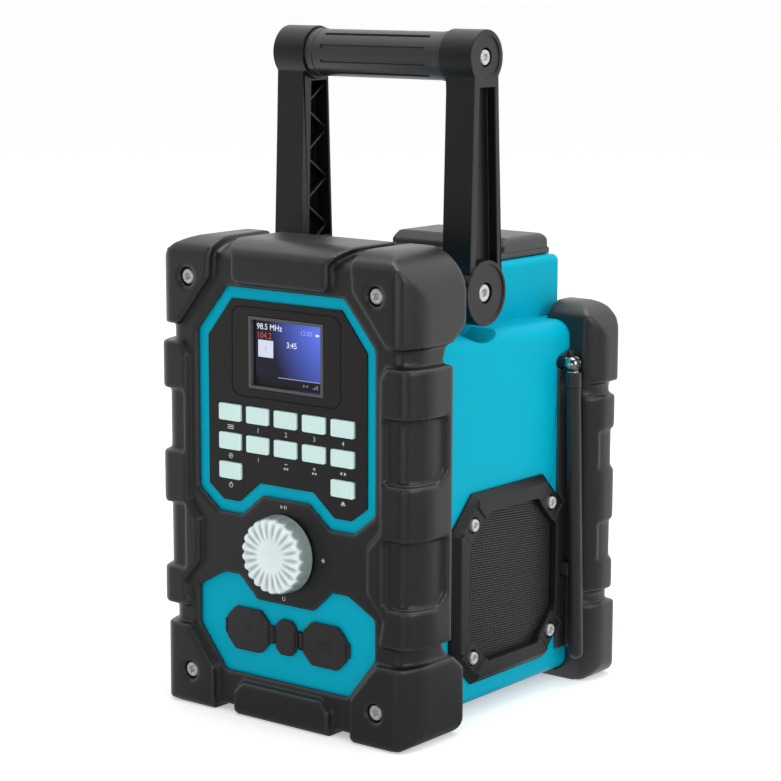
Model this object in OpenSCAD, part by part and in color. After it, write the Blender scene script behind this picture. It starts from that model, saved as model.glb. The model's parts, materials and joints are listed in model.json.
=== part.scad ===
// Jobsite radio: a battery radio in a hard case, with two rubber guards, a folding handle, side speakers,
// a stowed antenna and a battery bay under a hinged lid.
// Millimetres. +X is to the right when facing the front, +Y to the back, +Z up.
// Each piece is drawn with the front guard's face at y = 0 and then stood on the origin by stand().

/* [Case] */
// Depth over both guards
radio_d = 203; // [200:0.5:206]
// How far the rear guard stands out behind the rear cover
rear_proud = 8; // [7:0.5:9]
// Width of the lower case
case_w = 142; // [136:1:146]
// Height of the case floor above the ground
case_low = 5; // [4:0.5:8]
// Height of the ledges beside the upper box
ledge_z = 216; // [212:0.5:220]
// Height of the case's front end, inside the front guard
front_end_z = 256; // [253:0.5:258]
// Length of the case's full-height front end
front_end_d = 50; // [48:0.5:51]
// Thickness of the case walls
wall = 2.5; // [2:0.25:3.5]
// Corner radius at the foot of the case
case_r_low = 9; // [7:0.5:12]
// Radius of the shoulders along the ledges
shoulder_r = 10; // [6:0.5:12]
// Fall of the ledges towards the back, in degrees
ledge_fall = 1.6; // [0:0.1:2]
// Corner radius of the case's front end
front_end_r = 16; // [14:0.5:20]
// Width of the upper box between the handle arms
box_w = 95; // [92:0.5:96]
// Height of the upper box
box_z = 247; // [243:0.5:250]
// Corner radius of the upper box
box_r = 4; // [2:0.5:8]
// How far the upper box reaches past the lower case
box_overhang = 5; // [3:0.5:6]
// Thickness of the rear cover
cover_t = 3; // [2:0.25:3.5]

/* [Guards] */
// Width over the front guard's side pads
guard_w = 183.5; // [180:0.5:188]
// Width over the rear guard's side pads
rear_w = 178; // [175:0.5:182]
// Height of the front guard
guard_h = 266.5; // [264:0.5:272]
// Depth of the front guard at its corner blocks
guard_d = 52; // [51:0.5:56]
// Depth of the front guard between its corner blocks
guard_mid_d = 35.5; // [33:0.5:42]
// Height of the rear guard
rear_h = 222.5; // [220:0.5:226]
// Depth of the rear guard
rear_d = 28.5; // [26:0.5:32]
// Radius of the rear guard's upper corners
rear_r_high = 21.5; // [18:0.5:26]
// Depth of the rear guard's side notches
rear_notch = 3.6; // [2:0.2:5]
// Depth of the shallow pockets in the rear guard's pads
rear_pocket = 1.4; // [0.6:0.1:2]
// How far the rear guard's front edges are drawn in
flare_in = 8; // [4:0.5:10]
// How far back those edges reach full size
flare_run = 15.5; // [8:0.5:17]
// Half the gap between the rear guard's two upper blocks
hood_gap = 54.5; // [50:0.5:58]
// Radius of the guards' upper corners
guard_r_high = 26; // [20:0.5:30]
// Radius of the guards' lower corners
guard_r_low = 11; // [9:0.5:15]
// How far the eased edge steps in at the face
ease_in = 6.2; // [5:0.2:8]
// How far the eased edge reaches back from the face
ease_back = 20; // [16:0.5:26]
// How far in the slanted cut between the face and the eased edge begins
ease_cut = 8.6; // [7.6:0.2:10]
// How far the corner blocks lie below the side pads
corner_drop = 3.75; // [2.5:0.25:5]
// How far the pads' front lies behind the blocks' front
pad_drop = 1.4; // [0.5:0.1:2.5]
// Depth of the shallow pockets in the pads
pocket = 3; // [1:0.25:4]
// Depth of the deep side notches
notch = 6.75; // [5:0.25:9]
// Depth of the grooves across the top and bottom
groove = 3.5; // [2:0.25:5]
// How far the guard's frame lies behind its blocks
frame_drop = 4.5; // [3:0.25:5.5]
// Depth from the guard's face to the fascia
fascia_y = 8; // [7:0.25:10]
// Half the spread of the guard screws
guard_screw_x = 66; // [64:0.5:67]
// Height of the lower guard screws
screw_low_z = 20; // [18:0.5:22]
// Height of the front guard's upper screws
screw_high_z = 244; // [242:0.5:245]
// Height of the rear guard's upper screws
rear_screw_z = 198; // [194:0.5:200]
// Width of the opening in the rear guard's face
rear_window_w = 118; // [104:1:120]
// Height of the opening in the rear guard's face
rear_window_h = 172; // [160:1:176]

/* [Control panel] */
// Half the width of the upper window
window_x = 62.4; // [60:0.2:64]
// Height of the upper window's top edge
window_z = 240.2; // [238:0.2:242]
// Width of the teal border round the control panel
border = 6.4; // [4:0.2:8]
// Thickness of the fascia
fascia_t = 3; // [2:0.25:4]
// How far the control panel stands out of the fascia
panel_proud = 1.2; // [0.6:0.1:2]
// Width of the display frame
display_w = 52.5; // [50:0.5:56]
// Height of the display frame
display_h = 39.8; // [38:0.2:42]
// Width of the display frame's bars
display_bar = 1.75; // [1:0.25:2.5]
// Height of the display's centre
display_z = 205.2; // [203:0.2:207]
// Width of a button
button_w = 16; // [14:0.25:17]
// Height of a button
button_h = 9.4; // [8:0.2:10.5]
// Distance between button columns
button_pitch = 19.92; // [19:0.02:21]
// Height of the first button row
row_1_z = 170.4; // [169.6:0.2:172]
// Height of the second button row
row_2_z = 154.2; // [153:0.2:155]
// Height of the third button row
row_3_z = 137.7; // [137:0.2:139]
// How far a button stands out of the panel
button_proud = 1.35; // [1:0.05:2]
// Travel of a button
button_travel = 0.8; // [0.4:0.05:1]

/* [Volume knob] */
// Height of the knob's centre
knob_z = 97; // [96:0.5:98]
// Diameter of the knob's skirt
knob_d = 43.5; // [38:0.5:45]
// Diameter of the knob's front face
knob_face_d = 40.5; // [34:0.5:41]
// Length of the knob
knob_l = 11; // [9:0.25:12]
// Number of radial flutes
flutes = 22; // [16:1:26]
// Diameter of the smooth dish in the face
dish_d = 17; // [12:0.5:20]
// Diameter of the encoder's shaft
shaft_d = 6; // [5:0.25:6.5]
// Travel of the knob when it is pressed
push_travel = 0.6; // [0.3:0.05:0.8]

/* [Port covers] */
// Half the distance between the two flaps' centres
flap_x = 27.4; // [26.5:0.1:28]
// Height of the flaps' centres
flap_z = 49; // [48:0.25:50]
// Width of a flap
flap_w = 30; // [28:0.25:31]
// Height of a flap
flap_h = 24.3; // [20:0.1:26]
// Thickness of a flap
flap_t = 2.4; // [1.6:0.1:3]
// Width of the strap between the flaps
strap_w = 13.5; // [11:0.25:15]
// Diameter of the audio socket
aux_d = 3.6; // [3.5:0.05:3.8]
// Depth of the audio socket
aux_l = 14; // [12:0.5:16]

/* [Speakers] */
// Height of the speaker's centre
speaker_z = 73; // [71:0.25:76]
// Width of the ring where it meets the case
ring_w = 108.5; // [106:0.5:109.5]
// How much the ring's corners are cut
ring_cut = 20; // [18:0.5:22]
// How far the ring's sides slope in to its face
ring_slope = 4.2; // [3:0.1:5]
// Width of the ring's face round the grille
ring_band = 7.8; // [6:0.1:9]
// How far the ring reaches behind the antenna's axis
ring_under = 2.25; // [1:0.25:3]
// Thickness of the ring
ring_t = 6; // [4:0.25:8]
// How much the opening's corners are cut
grille_cut = 18.5; // [16:0.5:21]
// How far the ring's screws lie inside its edge
ring_screw_in = 16.65; // [16:0.05:17.5]
// Diameter of the loudspeaker's basket
speaker_d = 78; // [72:0.5:80]
// Depth of the loudspeaker behind the wall
speaker_l = 36; // [30:0.5:38]

/* [Handle] */
// Distance of the pivot behind the front face
pivot_y = 94.1; // [92:0.1:95]
// Height of the pivot
pivot_z = 236.5; // [235:0.25:238]
// Diameter of the pivot discs
pivot_disc_d = 36.2; // [34:0.2:38]
// Gap between a pivot disc and the scoop round it
scoop_gap = 9.4; // [8:0.1:10]
// Inner face of the arms, from the middle
arm_in = 50.1; // [49.5:0.1:51]
// Thickness of the arms
arm_t = 20.2; // [18:0.2:20.4]
// Width of the arms near the pivot
arm_low_w = 27; // [24:0.25:29]
// Width of the arms below the grip
arm_high_w = 22.5; // [20:0.25:25]
// How far the grip's axis lies behind the pivot
grip_back = -0.8; // [-2:0.1:4]
// Height of the grip's axis above the pivot
grip_up = 127.8; // [122:0.2:129]
// Diameter of the grip
grip_d = 27.25; // [25:0.25:28]
// Length of the caps, from the arms' inner faces
cap_in = 2.6; // [2:0.1:4]
// Diameter of the caps at the grip's ends
cap_d = 30; // [28:0.25:31]
// Depth of the long recess in an arm's outer face
arm_recess = 5.5; // [4:0.25:6]
// Distance between the ribs in an arm's pocket
rib_pitch = 27.3; // [24:0.1:30]
// Diameter of the tube inside the grip
tube_d = 14; // [12:0.25:16]
// Diameter of the pivot screws' shoulder
pivot_d = 6; // [5:0.25:7]
// Outer diameter of the pivot bushes
bush_d = 8.5; // [8:0.25:9]

/* [Battery bay] */
// Inner width of the battery bay
bay_w = 80; // [76:0.5:80]
// Inner length of the battery bay, front to back
bay_l = 66; // [60:0.5:66]
// Depth of the battery bay below the lid
bay_d = 120; // [100:1:122]
// Distance of the bay's back end in front of the case's back
bay_in = 8; // [7:0.5:9]
// Wall of the battery bay
bay_wall = 2; // [1.5:0.25:2.5]
// Width of the lid
lid_w = 83; // [80:0.5:86]
// Thickness of the lid's front flange
lid_flange_t = 3.7; // [3:0.1:4]
// Height of the lid's raised part
lid_t = 12; // [10:0.1:13]
// Length of the lid's raised part
lid_raised_l = 44; // [38:0.5:50]
// How far the lid's back edge lies inside the box's back
lid_inset = 1; // [0.5:0.25:2]
// Radius of the raised part's upper edges
lid_r = 5; // [3:0.5:6]
// Diameter of the lid's hinge pin
lid_pin_d = 2.4; // [2:0.1:2.8]

/* [Antenna] */
// Distance of the antenna's axis in front of the rear guard
antenna_gap = 9; // [8.5:0.25:9.5]
// Height of the antenna's pin
antenna_z = 189.5; // [186:0.5:191]
// Distance of the antenna's axis from the case's side
antenna_out = 9; // [8.8:0.1:9.4]
// Thickness of the rod below the pin
rod_d = 9.4; // [8.6:0.1:9.6]
// Thickness of the rod's tip
tip_d = 8.4; // [6:0.1:9]
// Length of the rod from its pin
rod_l = 174; // [150:1:176]
// Outward lean of the stowed rod, in degrees
rod_lean = 1.2; // [0.6:0.1:1.3]
// Backward lean of the stowed rod, in degrees
rod_back = 0.8; // [0:0.1:1]
// Height of the clip that holds the rod
clip_z = 70; // [60:1:90]

/* [Fits] */
// Gap round pieces that are seated
fit = 0.2; // [0.1:0.05:0.25]
// Gap round pieces that move
slip = 0.3; // [0.2:0.05:0.4]
// Radial gap of pins and shafts that turn
running = 0.05; // [0.02:0.01:0.1]

/* [Hidden] */
$fn = 64;
knob_y = fascia_y - 5.1;
front_reach = knob_l - knob_y;
front_y = -(radio_d - front_reach) / 2;
half_case = case_w / 2;
half_guard = guard_w / 2;
half_rear = rear_w / 2;
half_box = box_w / 2;
cover_y = radio_d - rear_proud;
case_back = cover_y - cover_t;
box_back = case_back + box_overhang;
rear_y = radio_d - rear_d;
bay_y = case_back - bay_in - bay_l;
lid_back = box_back - lid_inset;
lid_step_y = lid_back - lid_raised_l;
antenna_x = half_case + antenna_out;
antenna_y = rear_y - antenna_gap;
speaker_y = antenna_y + ring_under - ring_w / 2;
ring_face_w = ring_w - 2 * ring_slope;
ring_face_cut = ring_cut - (2 - sqrt(2)) * ring_slope;
ring_screw = ring_w / 2 - ring_screw_in;
grille_w = ring_face_w - 2 * ring_band;
arm_out = arm_in + arm_t;
head_floor_x = arm_out - 5;
pivot_head_d = 10;
grip_y = pivot_y + grip_back;
grip_z = pivot_z + grip_up;
panel_y = fascia_y - panel_proud;
fascia_back = fascia_y + fascia_t;
screw_shank_d = 4;
screw_head_d = 8.5;
screw_head_t = 3.2;
screw_bite = 15;
head_recess_d = 10.5;
teal = [0.04, 0.69, 0.80];
rubber = [0.21, 0.21, 0.21];
black = [0.09, 0.09, 0.10];
steel = [0.75, 0.75, 0.75];
board_green = [0.10, 0.35, 0.20];

// ---------------------------------------------------------------- drawing aids

// Moves the finished radio so that the origin is under its middle
module stand() {
    translate([0, front_y, 0]) children();
}

// Extrudes a drawing of y and z along X
module across(from, to) {
    translate([from, 0, 0]) rotate([90, 0, 90]) linear_extrude(to - from) children();
}

// Extrudes a drawing of x and z along Y
module fore_aft(from, to) {
    translate([0, to, 0]) rotate([90, 0, 0]) linear_extrude(to - from) children();
}

// A round bar along X
module bar_x(from, to, d) {
    translate([from, 0, 0]) rotate([0, 90, 0]) cylinder(h = to - from, d = d);
}

// A round bar along Y
module bar_y(from, to, d) {
    translate([0, from, 0]) rotate([-90, 0, 0]) cylinder(h = to - from, d = d);
}

module both_sides() {
    children();
    mirror([1, 0, 0]) children();
}

// A box with its lowest and highest corners given
module block(low, high) {
    translate(low) cube(high - low);
}

// A panel with rounded corners, symmetric about the middle
module rounded_panel(half_w, low, high, r_low, r_high) {
    polygon([
        [-half_w, low + r_low], [-half_w + r_low, low], [half_w - r_low, low], [half_w, low + r_low],
        [half_w, high - r_high], [half_w - r_high, high], [-half_w + r_high, high], [-half_w, high - r_high]
    ]);
    for (side = [-1, 1]) {
        translate([side * (half_w - r_high), high - r_high]) circle(r_high);
        translate([side * (half_w - r_low), low + r_low]) circle(r_low);
    }
}

// An octagon round the origin with equal cuts at its corners
module octagon(w, h, cut) {
    polygon([
        [-w / 2, -h / 2 + cut], [-w / 2 + cut, -h / 2], [w / 2 - cut, -h / 2], [w / 2, -h / 2 + cut],
        [w / 2, h / 2 - cut], [w / 2 - cut, h / 2], [-w / 2 + cut, h / 2], [-w / 2, h / 2 - cut]
    ]);
}

// A drawing that is closed by its own mirror image about the middle
module mirrored(points) {
    polygon(concat(points, [for (i = [len(points) - 1:-1:0]) [-points[i][0], points[i][1]]]));
}

// ---------------------------------------------------------------- guards

// Radius of an arc that is tangent to a side and steps in by rise over its run, to a hundredth
function ease_r(rise, run) = round(50 * (rise * rise + run * run) / rise) / 100;

// A strip from the middle out to w, its corners at the near end eased by an arc: [how far in, how far along]
module eased_end(w, near, far, ease) {
    long_r = ease_r(ease[0], ease[1]);
    translate([0, near]) square([w - long_r, far - near]);
    translate([0, near + ease[1]]) square([w, far - near - ease[1]]);
    translate([w - long_r, near + ease[1]]) circle(long_r);
}

// A strip from the middle out to w: eased at both ends, and cut at a slant from so far in at the near one
module eased(w, near, far, near_ease, near_cut, far_ease) {
    slant = tan(30);
    intersection() {
        eased_end(w, near, far, near_ease);
        translate([0, near + far]) mirror([0, 1]) eased_end(w, near, far, far_ease);
        polygon([
            [0, near], [w - near_cut, near], [w + 1, near + slant * (near_cut + 1)], [w + 1, far], [0, far]
        ]);
    }
}

// One level of a guard, drawn in by so much at the sides, top and bottom, and face: rounded corners seen from
// the front, eased edges seen from above and from the side
module guard_level(half_w, height, depth, top_in, face_in, r_high, face_ease, cut, inner_ease) {
    foot = 3;
    intersection() {
        fore_aft(face_in, depth)
            rounded_panel(half_w, top_in, height - top_in, guard_r_low, r_high);
        linear_extrude(height) both_sides() eased(half_w, face_in, depth, face_ease, cut, inner_ease);
        translate([half_w + 1, 0, 0]) rotate([0, -90, 0]) linear_extrude(2 * half_w + 2)
            eased(height - top_in, face_in, depth, face_ease, cut, inner_ease);
        across(-half_w - 1, half_w + 1)
            polygon([[face_in + foot, 0], [depth, 0], [depth, height], [face_in, height], [face_in, foot]]);
    }
}

// The front guard's levels have a long ease at the face, the rear guard's a long one at the inner edge
module front_level(side_in, top_in, face_in) {
    guard_level(half_guard - side_in, guard_h, guard_d, top_in, face_in, guard_r_high,
        [ease_in, ease_back], ease_cut, [1.5, 1.5]);
}

module rear_level(side_in, top_in, face_in, corner) {
    guard_level(half_rear - side_in, rear_h, rear_d, top_in, face_in, rear_r_high,
        [corner, corner], 0, [flare_in - side_in / 2, flare_run]);
}

module upper_block_area() {
    for (side = [-1, 1]) scale([side, 1])
        polygon([
            [49, guard_h + 9], [49, guard_h - 8.5], [50, guard_h - 21.5], [72, 218], [75, 217],
            [guard_w, 217], [guard_w, guard_h + 9]
        ]);
}

module lower_block_area() {
    for (side = [-1, 1]) scale([side, 1])
        polygon([[49, -1], [49, 24.5], [66.5, 46], [guard_w, 46], [guard_w, -1]]);
}

module centre_block_area() {
    mirrored([
        [41, guard_h + 9], [41, guard_h - 0.5], [34, guard_h - 8.5], [34, guard_h - 20.5],
        [31, guard_h - 23.5]
    ]);
    mirrored([[34, -1], [34, 14], [28, 19.6]]);
}

module column_area() {
    for (side = [-1, 1]) scale([side, 1])
        polygon([
            [68, 56.5], [70.7, 71], [59.7, 84.3], [59.7, 108.6], [68, 118], [68, 200], [72, 206.8],
            [guard_w, 206.8], [guard_w, 56.5]
        ]);
}

// The side view that the front guard fills, deeper at its corner blocks
module front_guard_side() {
    polygon([
        [-1, -1], [guard_d, -1], [guard_d, 38], [guard_mid_d + 3, 50], [guard_mid_d, 56],
        [guard_mid_d, 207], [guard_mid_d + 3, 216], [guard_d, 226], [guard_d, guard_h + 1], [-1, guard_h + 1]
    ]);
}

module pocket_side(low, high) {
    polygon([
        [-1, low], [guard_mid_d - 12, low], [guard_mid_d - 5, low + 6], [guard_mid_d - 5, high], [-1, high]
    ]);
}

module upper_window() {
    mirrored([
        [0, window_z], [41.3, window_z], [window_x, window_z - 25.4], [window_x, 126],
        [48, 114.4], [31, 114.4], [16.5, 126.5], [0, 126.5]
    ]);
}

module lower_window() {
    mirrored([
        [0, 67.3], [20, 67.3], [32.5, 79.4], [44.5, 79.4], [window_x, 69.5], [window_x, 47],
        [44, 23.6], [0, 23.6]
    ]);
}

module front_screw_places() {
    for (z = [screw_low_z, screw_high_z])
        for (side = [-1, 1])
            translate([side * guard_screw_x, 0, z]) children();
}

module rear_screw_places() {
    for (z = [screw_low_z, rear_screw_z])
        for (side = [-1, 1])
            translate([side * guard_screw_x, 0, z]) children();
}

module front_guard() {
    color(rubber) stand() difference() {
        intersection() {
            union() {
                front_level(notch, groove, frame_drop);
                intersection() {
                    front_level(corner_drop, 0, 0);
                    fore_aft(-1, guard_d + 1) {
                        upper_block_area();
                        lower_block_area();
                        centre_block_area();
                    }
                }
                difference() {
                    intersection() {
                        front_level(0, 0, pad_drop);
                        fore_aft(-1, guard_d + 1) column_area();
                    }
                    difference() {
                        both_sides() across(window_x + 8, guard_w) {
                            pocket_side(144.6, 180);
                            pocket_side(78, 115);
                        }
                        front_level(pocket, 0, pad_drop + pocket);
                    }
                }
            }
            across(-guard_w, guard_w) front_guard_side();
        }
        fore_aft(fascia_y, guard_d + 1)
            rounded_panel(half_case + fit, case_low - fit, front_end_z + fit, case_r_low, front_end_r);
        fore_aft(-1, fascia_y + 1) {
            upper_window();
            lower_window();
        }
        translate([0, 0, knob_z]) bar_y(-1, fascia_y + 1, 13);
        front_screw_places() {
            bar_y(-1, frame_drop + 0.3, head_recess_d);
            bar_y(0, fascia_y + 1, screw_shank_d + 2 * fit);
        }
        speaker_ring_room();
    }
}

// The rear guard's face is drawn forwards and then turned to the back
module rear_guard() {
    floor_reach = antenna_y - 3;
    floor_r = 8;
    color(rubber) stand() difference() {
        union() {
            translate([0, radio_d, 0]) mirror([0, 1, 0]) {
                rear_level(rear_notch, groove, 2.4, 8);
                intersection() {
                    rear_level(0, 0, 0, 6);
                    fore_aft(-1, rear_d + 1) both_sides() {
                        polygon([
                            [46, rear_h + 9], [46, 200], [66, 176.5], [rear_w, 176.5], [rear_w, rear_h + 9]
                        ]);
                        polygon([[49, -1], [49, 24.5], [66, 45.5], [rear_w, 45.5], [rear_w, -1]]);
                        mirrored([[34, -1], [34, 14], [28, 19.6]]);
                    }
                }
                difference() {
                    intersection() {
                        rear_level(0, 0, pad_drop, 8);
                        fore_aft(-1, rear_d + 1) both_sides()
                            polygon([[67, 53.5], [67, 160], [72, 168.5], [rear_w, 168.5], [rear_w, 53.5]]);
                    }
                    difference() {
                        both_sides() across(window_x + 8, rear_w) {
                            polygon([[-1, 125], [rear_d - 8, 125], [rear_d - 8, 148], [-1, 150]]);
                            polygon([[-1, 71], [rear_d - 8, 71], [rear_d - 8, 94], [-1, 96]]);
                        }
                        rear_level(rear_pocket, 0, pad_drop + rear_pocket, 8);
                    }
                }
            }
            // floor under the stowed antenna, rounded at its upper end
            across(half_case + fit, half_case + channel_t) {
                low = screw_low_z;
                straight = antenna_z - 2 - low;
                translate([floor_reach, low]) square([rear_y + 1 - floor_reach, straight]);
                translate([floor_reach + floor_r, low])
                    square([rear_y + 1 - floor_reach - floor_r, straight + floor_r]);
                translate([floor_reach + floor_r, low + straight]) circle(floor_r);
            }
        }
        lower_case(rear_y - 1, cover_y, -fit);
        block([-hood_gap, rear_y - 1, ledge_z - 4], [hood_gap, radio_d + 1, rear_h + 1]);
        fore_aft(cover_y - 1, radio_d + 1) translate([0, rear_window_z])
            octagon(rear_window_w, rear_window_h, rear_window_cut);
        translate([0, antenna_y, antenna_z]) bar_x(half_case, half_rear, antenna_stem_d);
        speaker_ring_room();
        rear_screw_places() {
            bar_y(radio_d - frame_drop, radio_d + 1, head_recess_d);
            bar_y(cover_y - 1, radio_d, screw_shank_d + 2 * fit);
        }
    }
}
channel_t = 1.8;
rear_window_z = 110;
rear_window_cut = 24;

// What a guard leaves free for the speaker rings
module speaker_ring_room() {
    room_w = ring_w + 2 * slip;
    speaker_places() across(half_case, half_case + ring_t + slip) octagon(room_w, room_w, ring_cut);
}

// ---------------------------------------------------------------- case

// The space where the pivot bosses and the scoops under the pivot discs thicken the case
module scoop_bed() {
    both_sides() translate([0, pivot_y, pivot_z])
        bar_x(half_box - 1, half_case + 1, 2 * (pivot_scoop_r + wall));
}
pivot_scoop_r = pivot_disc_d / 2 + scoop_gap;

// The case below its ledges, drawn in by so much all round
module lower_case(from, to, inset) {
    intersection() {
        fore_aft(from, to)
            rounded_panel(half_case - inset, case_low + inset, ledge_z + 9, case_r_low - inset, 1);
        translate([0, front_end_d, ledge_z]) rotate([-ledge_fall, 0, 0]) fore_aft(-front_end_d, radio_d)
            rounded_panel(half_case - inset, -ledge_z - 9, -inset, 1, shoulder_r - inset);
    }
}

module case_outside() {
    fore_aft(fascia_back, front_end_d)
        rounded_panel(half_case, case_low, front_end_z, case_r_low, front_end_r);
    lower_case(fascia_back, case_back, 0);
    fore_aft(fascia_back, box_back) rounded_panel(half_box, ledge_z - 4, box_z, 1, box_r);
}

module case_inside() {
    fore_aft(fascia_back - 1, front_end_d - wall)
        rounded_panel(half_case - wall, case_low + wall, front_end_z - wall,
            case_r_low - wall, front_end_r - wall);
    lower_case(fascia_back - 1, case_back + 1, wall);
    fore_aft(fascia_back - 1, box_back - wall)
        rounded_panel(half_box - wall, ledge_z - 4 - wall, box_z - wall, 0.5, box_r - 1);
}

module speaker_places() {
    both_sides() translate([0, speaker_y, speaker_z]) children();
}

module main_housing() {
    lug_x = bay_w / 2 - 6;
    bay_back = bay_y + bay_l;
    color(teal) stand() difference() {
        union() {
            difference() {
                case_outside();
                difference() {
                    case_inside();
                    scoop_bed();
                }
            }
            // floor under the overhanging end of the upper box
            block([-half_box, case_back - wall, ledge_z - 4], [half_box, box_back, ledge_z - 4 + wall]);
            front_screw_places() bar_y(fascia_back, fascia_back + 22, 8);
            rear_screw_places() bar_y(case_back - 22, case_back, 8);
            // bosses for the handle's pivot screws
            both_sides() translate([0, pivot_y, pivot_z]) bar_x(half_box - 12, half_box - 1, 12);
            // blocks behind the speaker rings' screws
            speaker_places()
                for (y = [-1, 1], z = [-1, 1])
                    translate([0, y * ring_screw, z * ring_screw]) bar_x(half_case - 10, half_case - 1, 8);
            // lugs of the lid's hinge
            both_sides() {
                block([lug_x, hinge_y - 3, box_z - 1], [lug_x + 4, hinge_y + 3, hinge_z]);
                translate([0, hinge_y, hinge_z]) bar_x(lug_x, lug_x + 4, 6);
            }
        }
        both_sides() {
            // scoop under the pivot disc
            translate([0, pivot_y, pivot_z]) bar_x(half_box, half_case + 1, 2 * pivot_scoop_r);
            translate([0, pivot_y, pivot_z]) bar_x(half_box - 13, half_box + 1, pivot_d);
            translate([0, hinge_y, hinge_z]) bar_x(lug_x - 1, lug_x + 5, lid_pin_d);
        }
        // mouth of the battery bay
        block([-bay_w / 2, bay_y, box_z - wall - 1], [bay_w / 2, bay_back, box_z + 1]);
        // holes for the loudspeakers and their screws
        speaker_places() {
            bar_x(half_case - wall - 1, half_case + 1, speaker_d - 6);
            for (y = [-1, 1], z = [-1, 1])
                translate([0, y * ring_screw, z * ring_screw])
                    bar_x(half_case - 9, half_case + 1, ring_shank_d);
        }
        // screw holes for both guards
        front_screw_places() bar_y(fascia_back - 1, fascia_back + 18, screw_shank_d);
        rear_screw_places() bar_y(case_back - 18, case_back + 1, screw_shank_d);
        translate([0, antenna_y, antenna_z]) bar_x(half_case - wall - 1, half_case + 1, antenna_stem_d);
    }
}
hinge_y = bay_y - 3;
hinge_z = box_z + 3.3;
ring_shank_d = 3;
ring_head_d = 7.2;
ring_head_depth = 2.6;
antenna_stem_d = 7;

module front_fascia() {
    color(teal) stand() difference() {
        union() {
            fore_aft(fascia_y, fascia_back)
                rounded_panel(half_case, case_low, front_end_z, case_r_low, front_end_r);
            for (z = [board_low + 6, board_high - 6])
                for (side = [-1, 1])
                    translate([side * (board_half - 4), 0, z]) bar_y(fascia_back - 1, board_y, 6);
            // housing of the two sockets
            block([-flap_x - 9, fascia_back - 1, flap_z - 7], [flap_x + 9, fascia_back + 3, flap_z + 7]);
        }
        panel_cut(border + 3, fascia_y - 1, fascia_back + 1);
        translate([0, 0, knob_z]) bar_y(fascia_y - 1, fascia_back + 1, bushing_d);
        front_screw_places() bar_y(fascia_y - 1, fascia_back + 1, screw_shank_d + 2 * fit);
        translate([0, 0, flap_z]) bar_y(fascia_y - 1, fascia_back + 4, strap_peg_d);
        // shallow recesses for the flaps' plugs
        both_sides() translate([flap_x, 0, flap_z])
            block([-plug_w / 2 - 0.6, fascia_y - 1, -plug_h / 2 - 0.6],
                [plug_w / 2 + 0.6, fascia_y + plug_t + 0.6, plug_h / 2 + 0.6]);
        translate([-flap_x, 0, flap_z]) bar_y(fascia_y, fascia_back + 4, jack_d);
        translate([flap_x, 0, flap_z])
            block([-usb_w / 2, fascia_y, -usb_h / 2], [usb_w / 2, fascia_back + 4, usb_h / 2]);
    }
}
board_y = 30;
board_half = half_case - 7;
board_low = row_3_z - 3.7;
board_high = window_z - 12.2;
bushing_d = 9;
strap_peg_d = 5;
plug_w = 18;
plug_h = 11;
plug_t = 1.6;
jack_d = 7;
usb_w = 14.4;
usb_h = 7;

module rear_cover() {
    color(teal) stand() difference() {
        union() {
            fore_aft(case_back, cover_y)
                rounded_panel(half_case, case_low, ledge_z - 4 - fit, case_r_low, shoulder_r + 0.5);
            // stiffening ribs across the cover
            for (i = [-3.5:3.5])
                translate([0, 0, rear_window_z + 15 * i])
                    block([15 - rear_window_w / 2, cover_y - 1, 0],
                        [rear_window_w / 2 - 15, cover_y + 1.6, 5]);
        }
        rear_screw_places() bar_y(case_back - 1, cover_y + 1, screw_shank_d + 2 * fit);
        fore_aft(case_back - 1, case_back + 1.4) translate([0, rear_window_z])
            octagon(rear_window_w - 14, rear_window_h - 22, rear_window_cut - 2);
    }
}

// ---------------------------------------------------------------- control panel

// The control panel's outline, so far inside the upper window
module panel_outline(inset) {
    cut = inset * 0.41;
    mirrored([
        [0, window_z - inset], [41.3 - cut, window_z - inset], [window_x - inset, window_z - 25.4 - cut],
        [window_x - inset, 126 + cut], [48 - cut, 114.4 + inset], [31 + cut, 114.4 + inset],
        [16.5 + cut, 126.5 + inset], [0, 126.5 + inset]
    ]);
}

module panel_cut(inset, from, to) {
    fore_aft(from, to) panel_outline(inset);
}

module at_button(column, row) {
    translate([column * button_pitch, 0, [row_1_z, row_2_z, row_3_z][row]]) children();
}

module all_buttons() {
    for (row = [0:2])
        for (column = row == 2 ? [-2, 2] : [-2:2])
            at_button(column, row) children();
}

module control_panel() {
    color(black) stand() difference() {
        union() {
            panel_cut(border, panel_y, fascia_y);
            panel_cut(border + 3 + fit, fascia_y - 0.5, fascia_back);
            // bosses that carry the keypad board, between the button rows
            for (z = [(row_2_z + row_3_z) / 2, (row_1_z + row_2_z) / 2])
                for (side = [-1, 1])
                    translate([side * button_pitch, 0, z]) bar_y(fascia_back - 1, keypad_y, 4);
        }
        translate([0, 0, display_z])
            block([-display_w / 2 - fit, 0, -display_h / 2 - fit],
                [display_w / 2 + fit, board_y, display_h / 2 + fit]);
        all_buttons()
            block([-button_w / 2 - slip, 0, -button_h / 2 - slip],
                [button_w / 2 + slip, board_y, button_h / 2 + slip]);
        // hairline round the display window
        fore_aft(panel_y - 1, panel_y + 0.4) translate([0, display_z]) difference() {
            octagon(hairline_w, hairline_h, 4);
            octagon(hairline_w - 1.2, hairline_h - 1.2, 3.6);
        }
    }
}
keypad_y = 16.4;
hairline_w = display_w + 24.5;
hairline_h = display_h + 10.2;

module display_frame() {
    color(black) stand() translate([0, 0, display_z]) difference() {
        block([-display_w / 2, panel_y - 0.3, -display_h / 2], [display_w / 2, fascia_back, display_h / 2]);
        block([-glass_w / 2, 0, -glass_h / 2], [glass_w / 2, 20, glass_h / 2]);
    }
}
glass_w = display_w - 2 * display_bar;
glass_h = display_h - 2 * display_bar;

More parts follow.
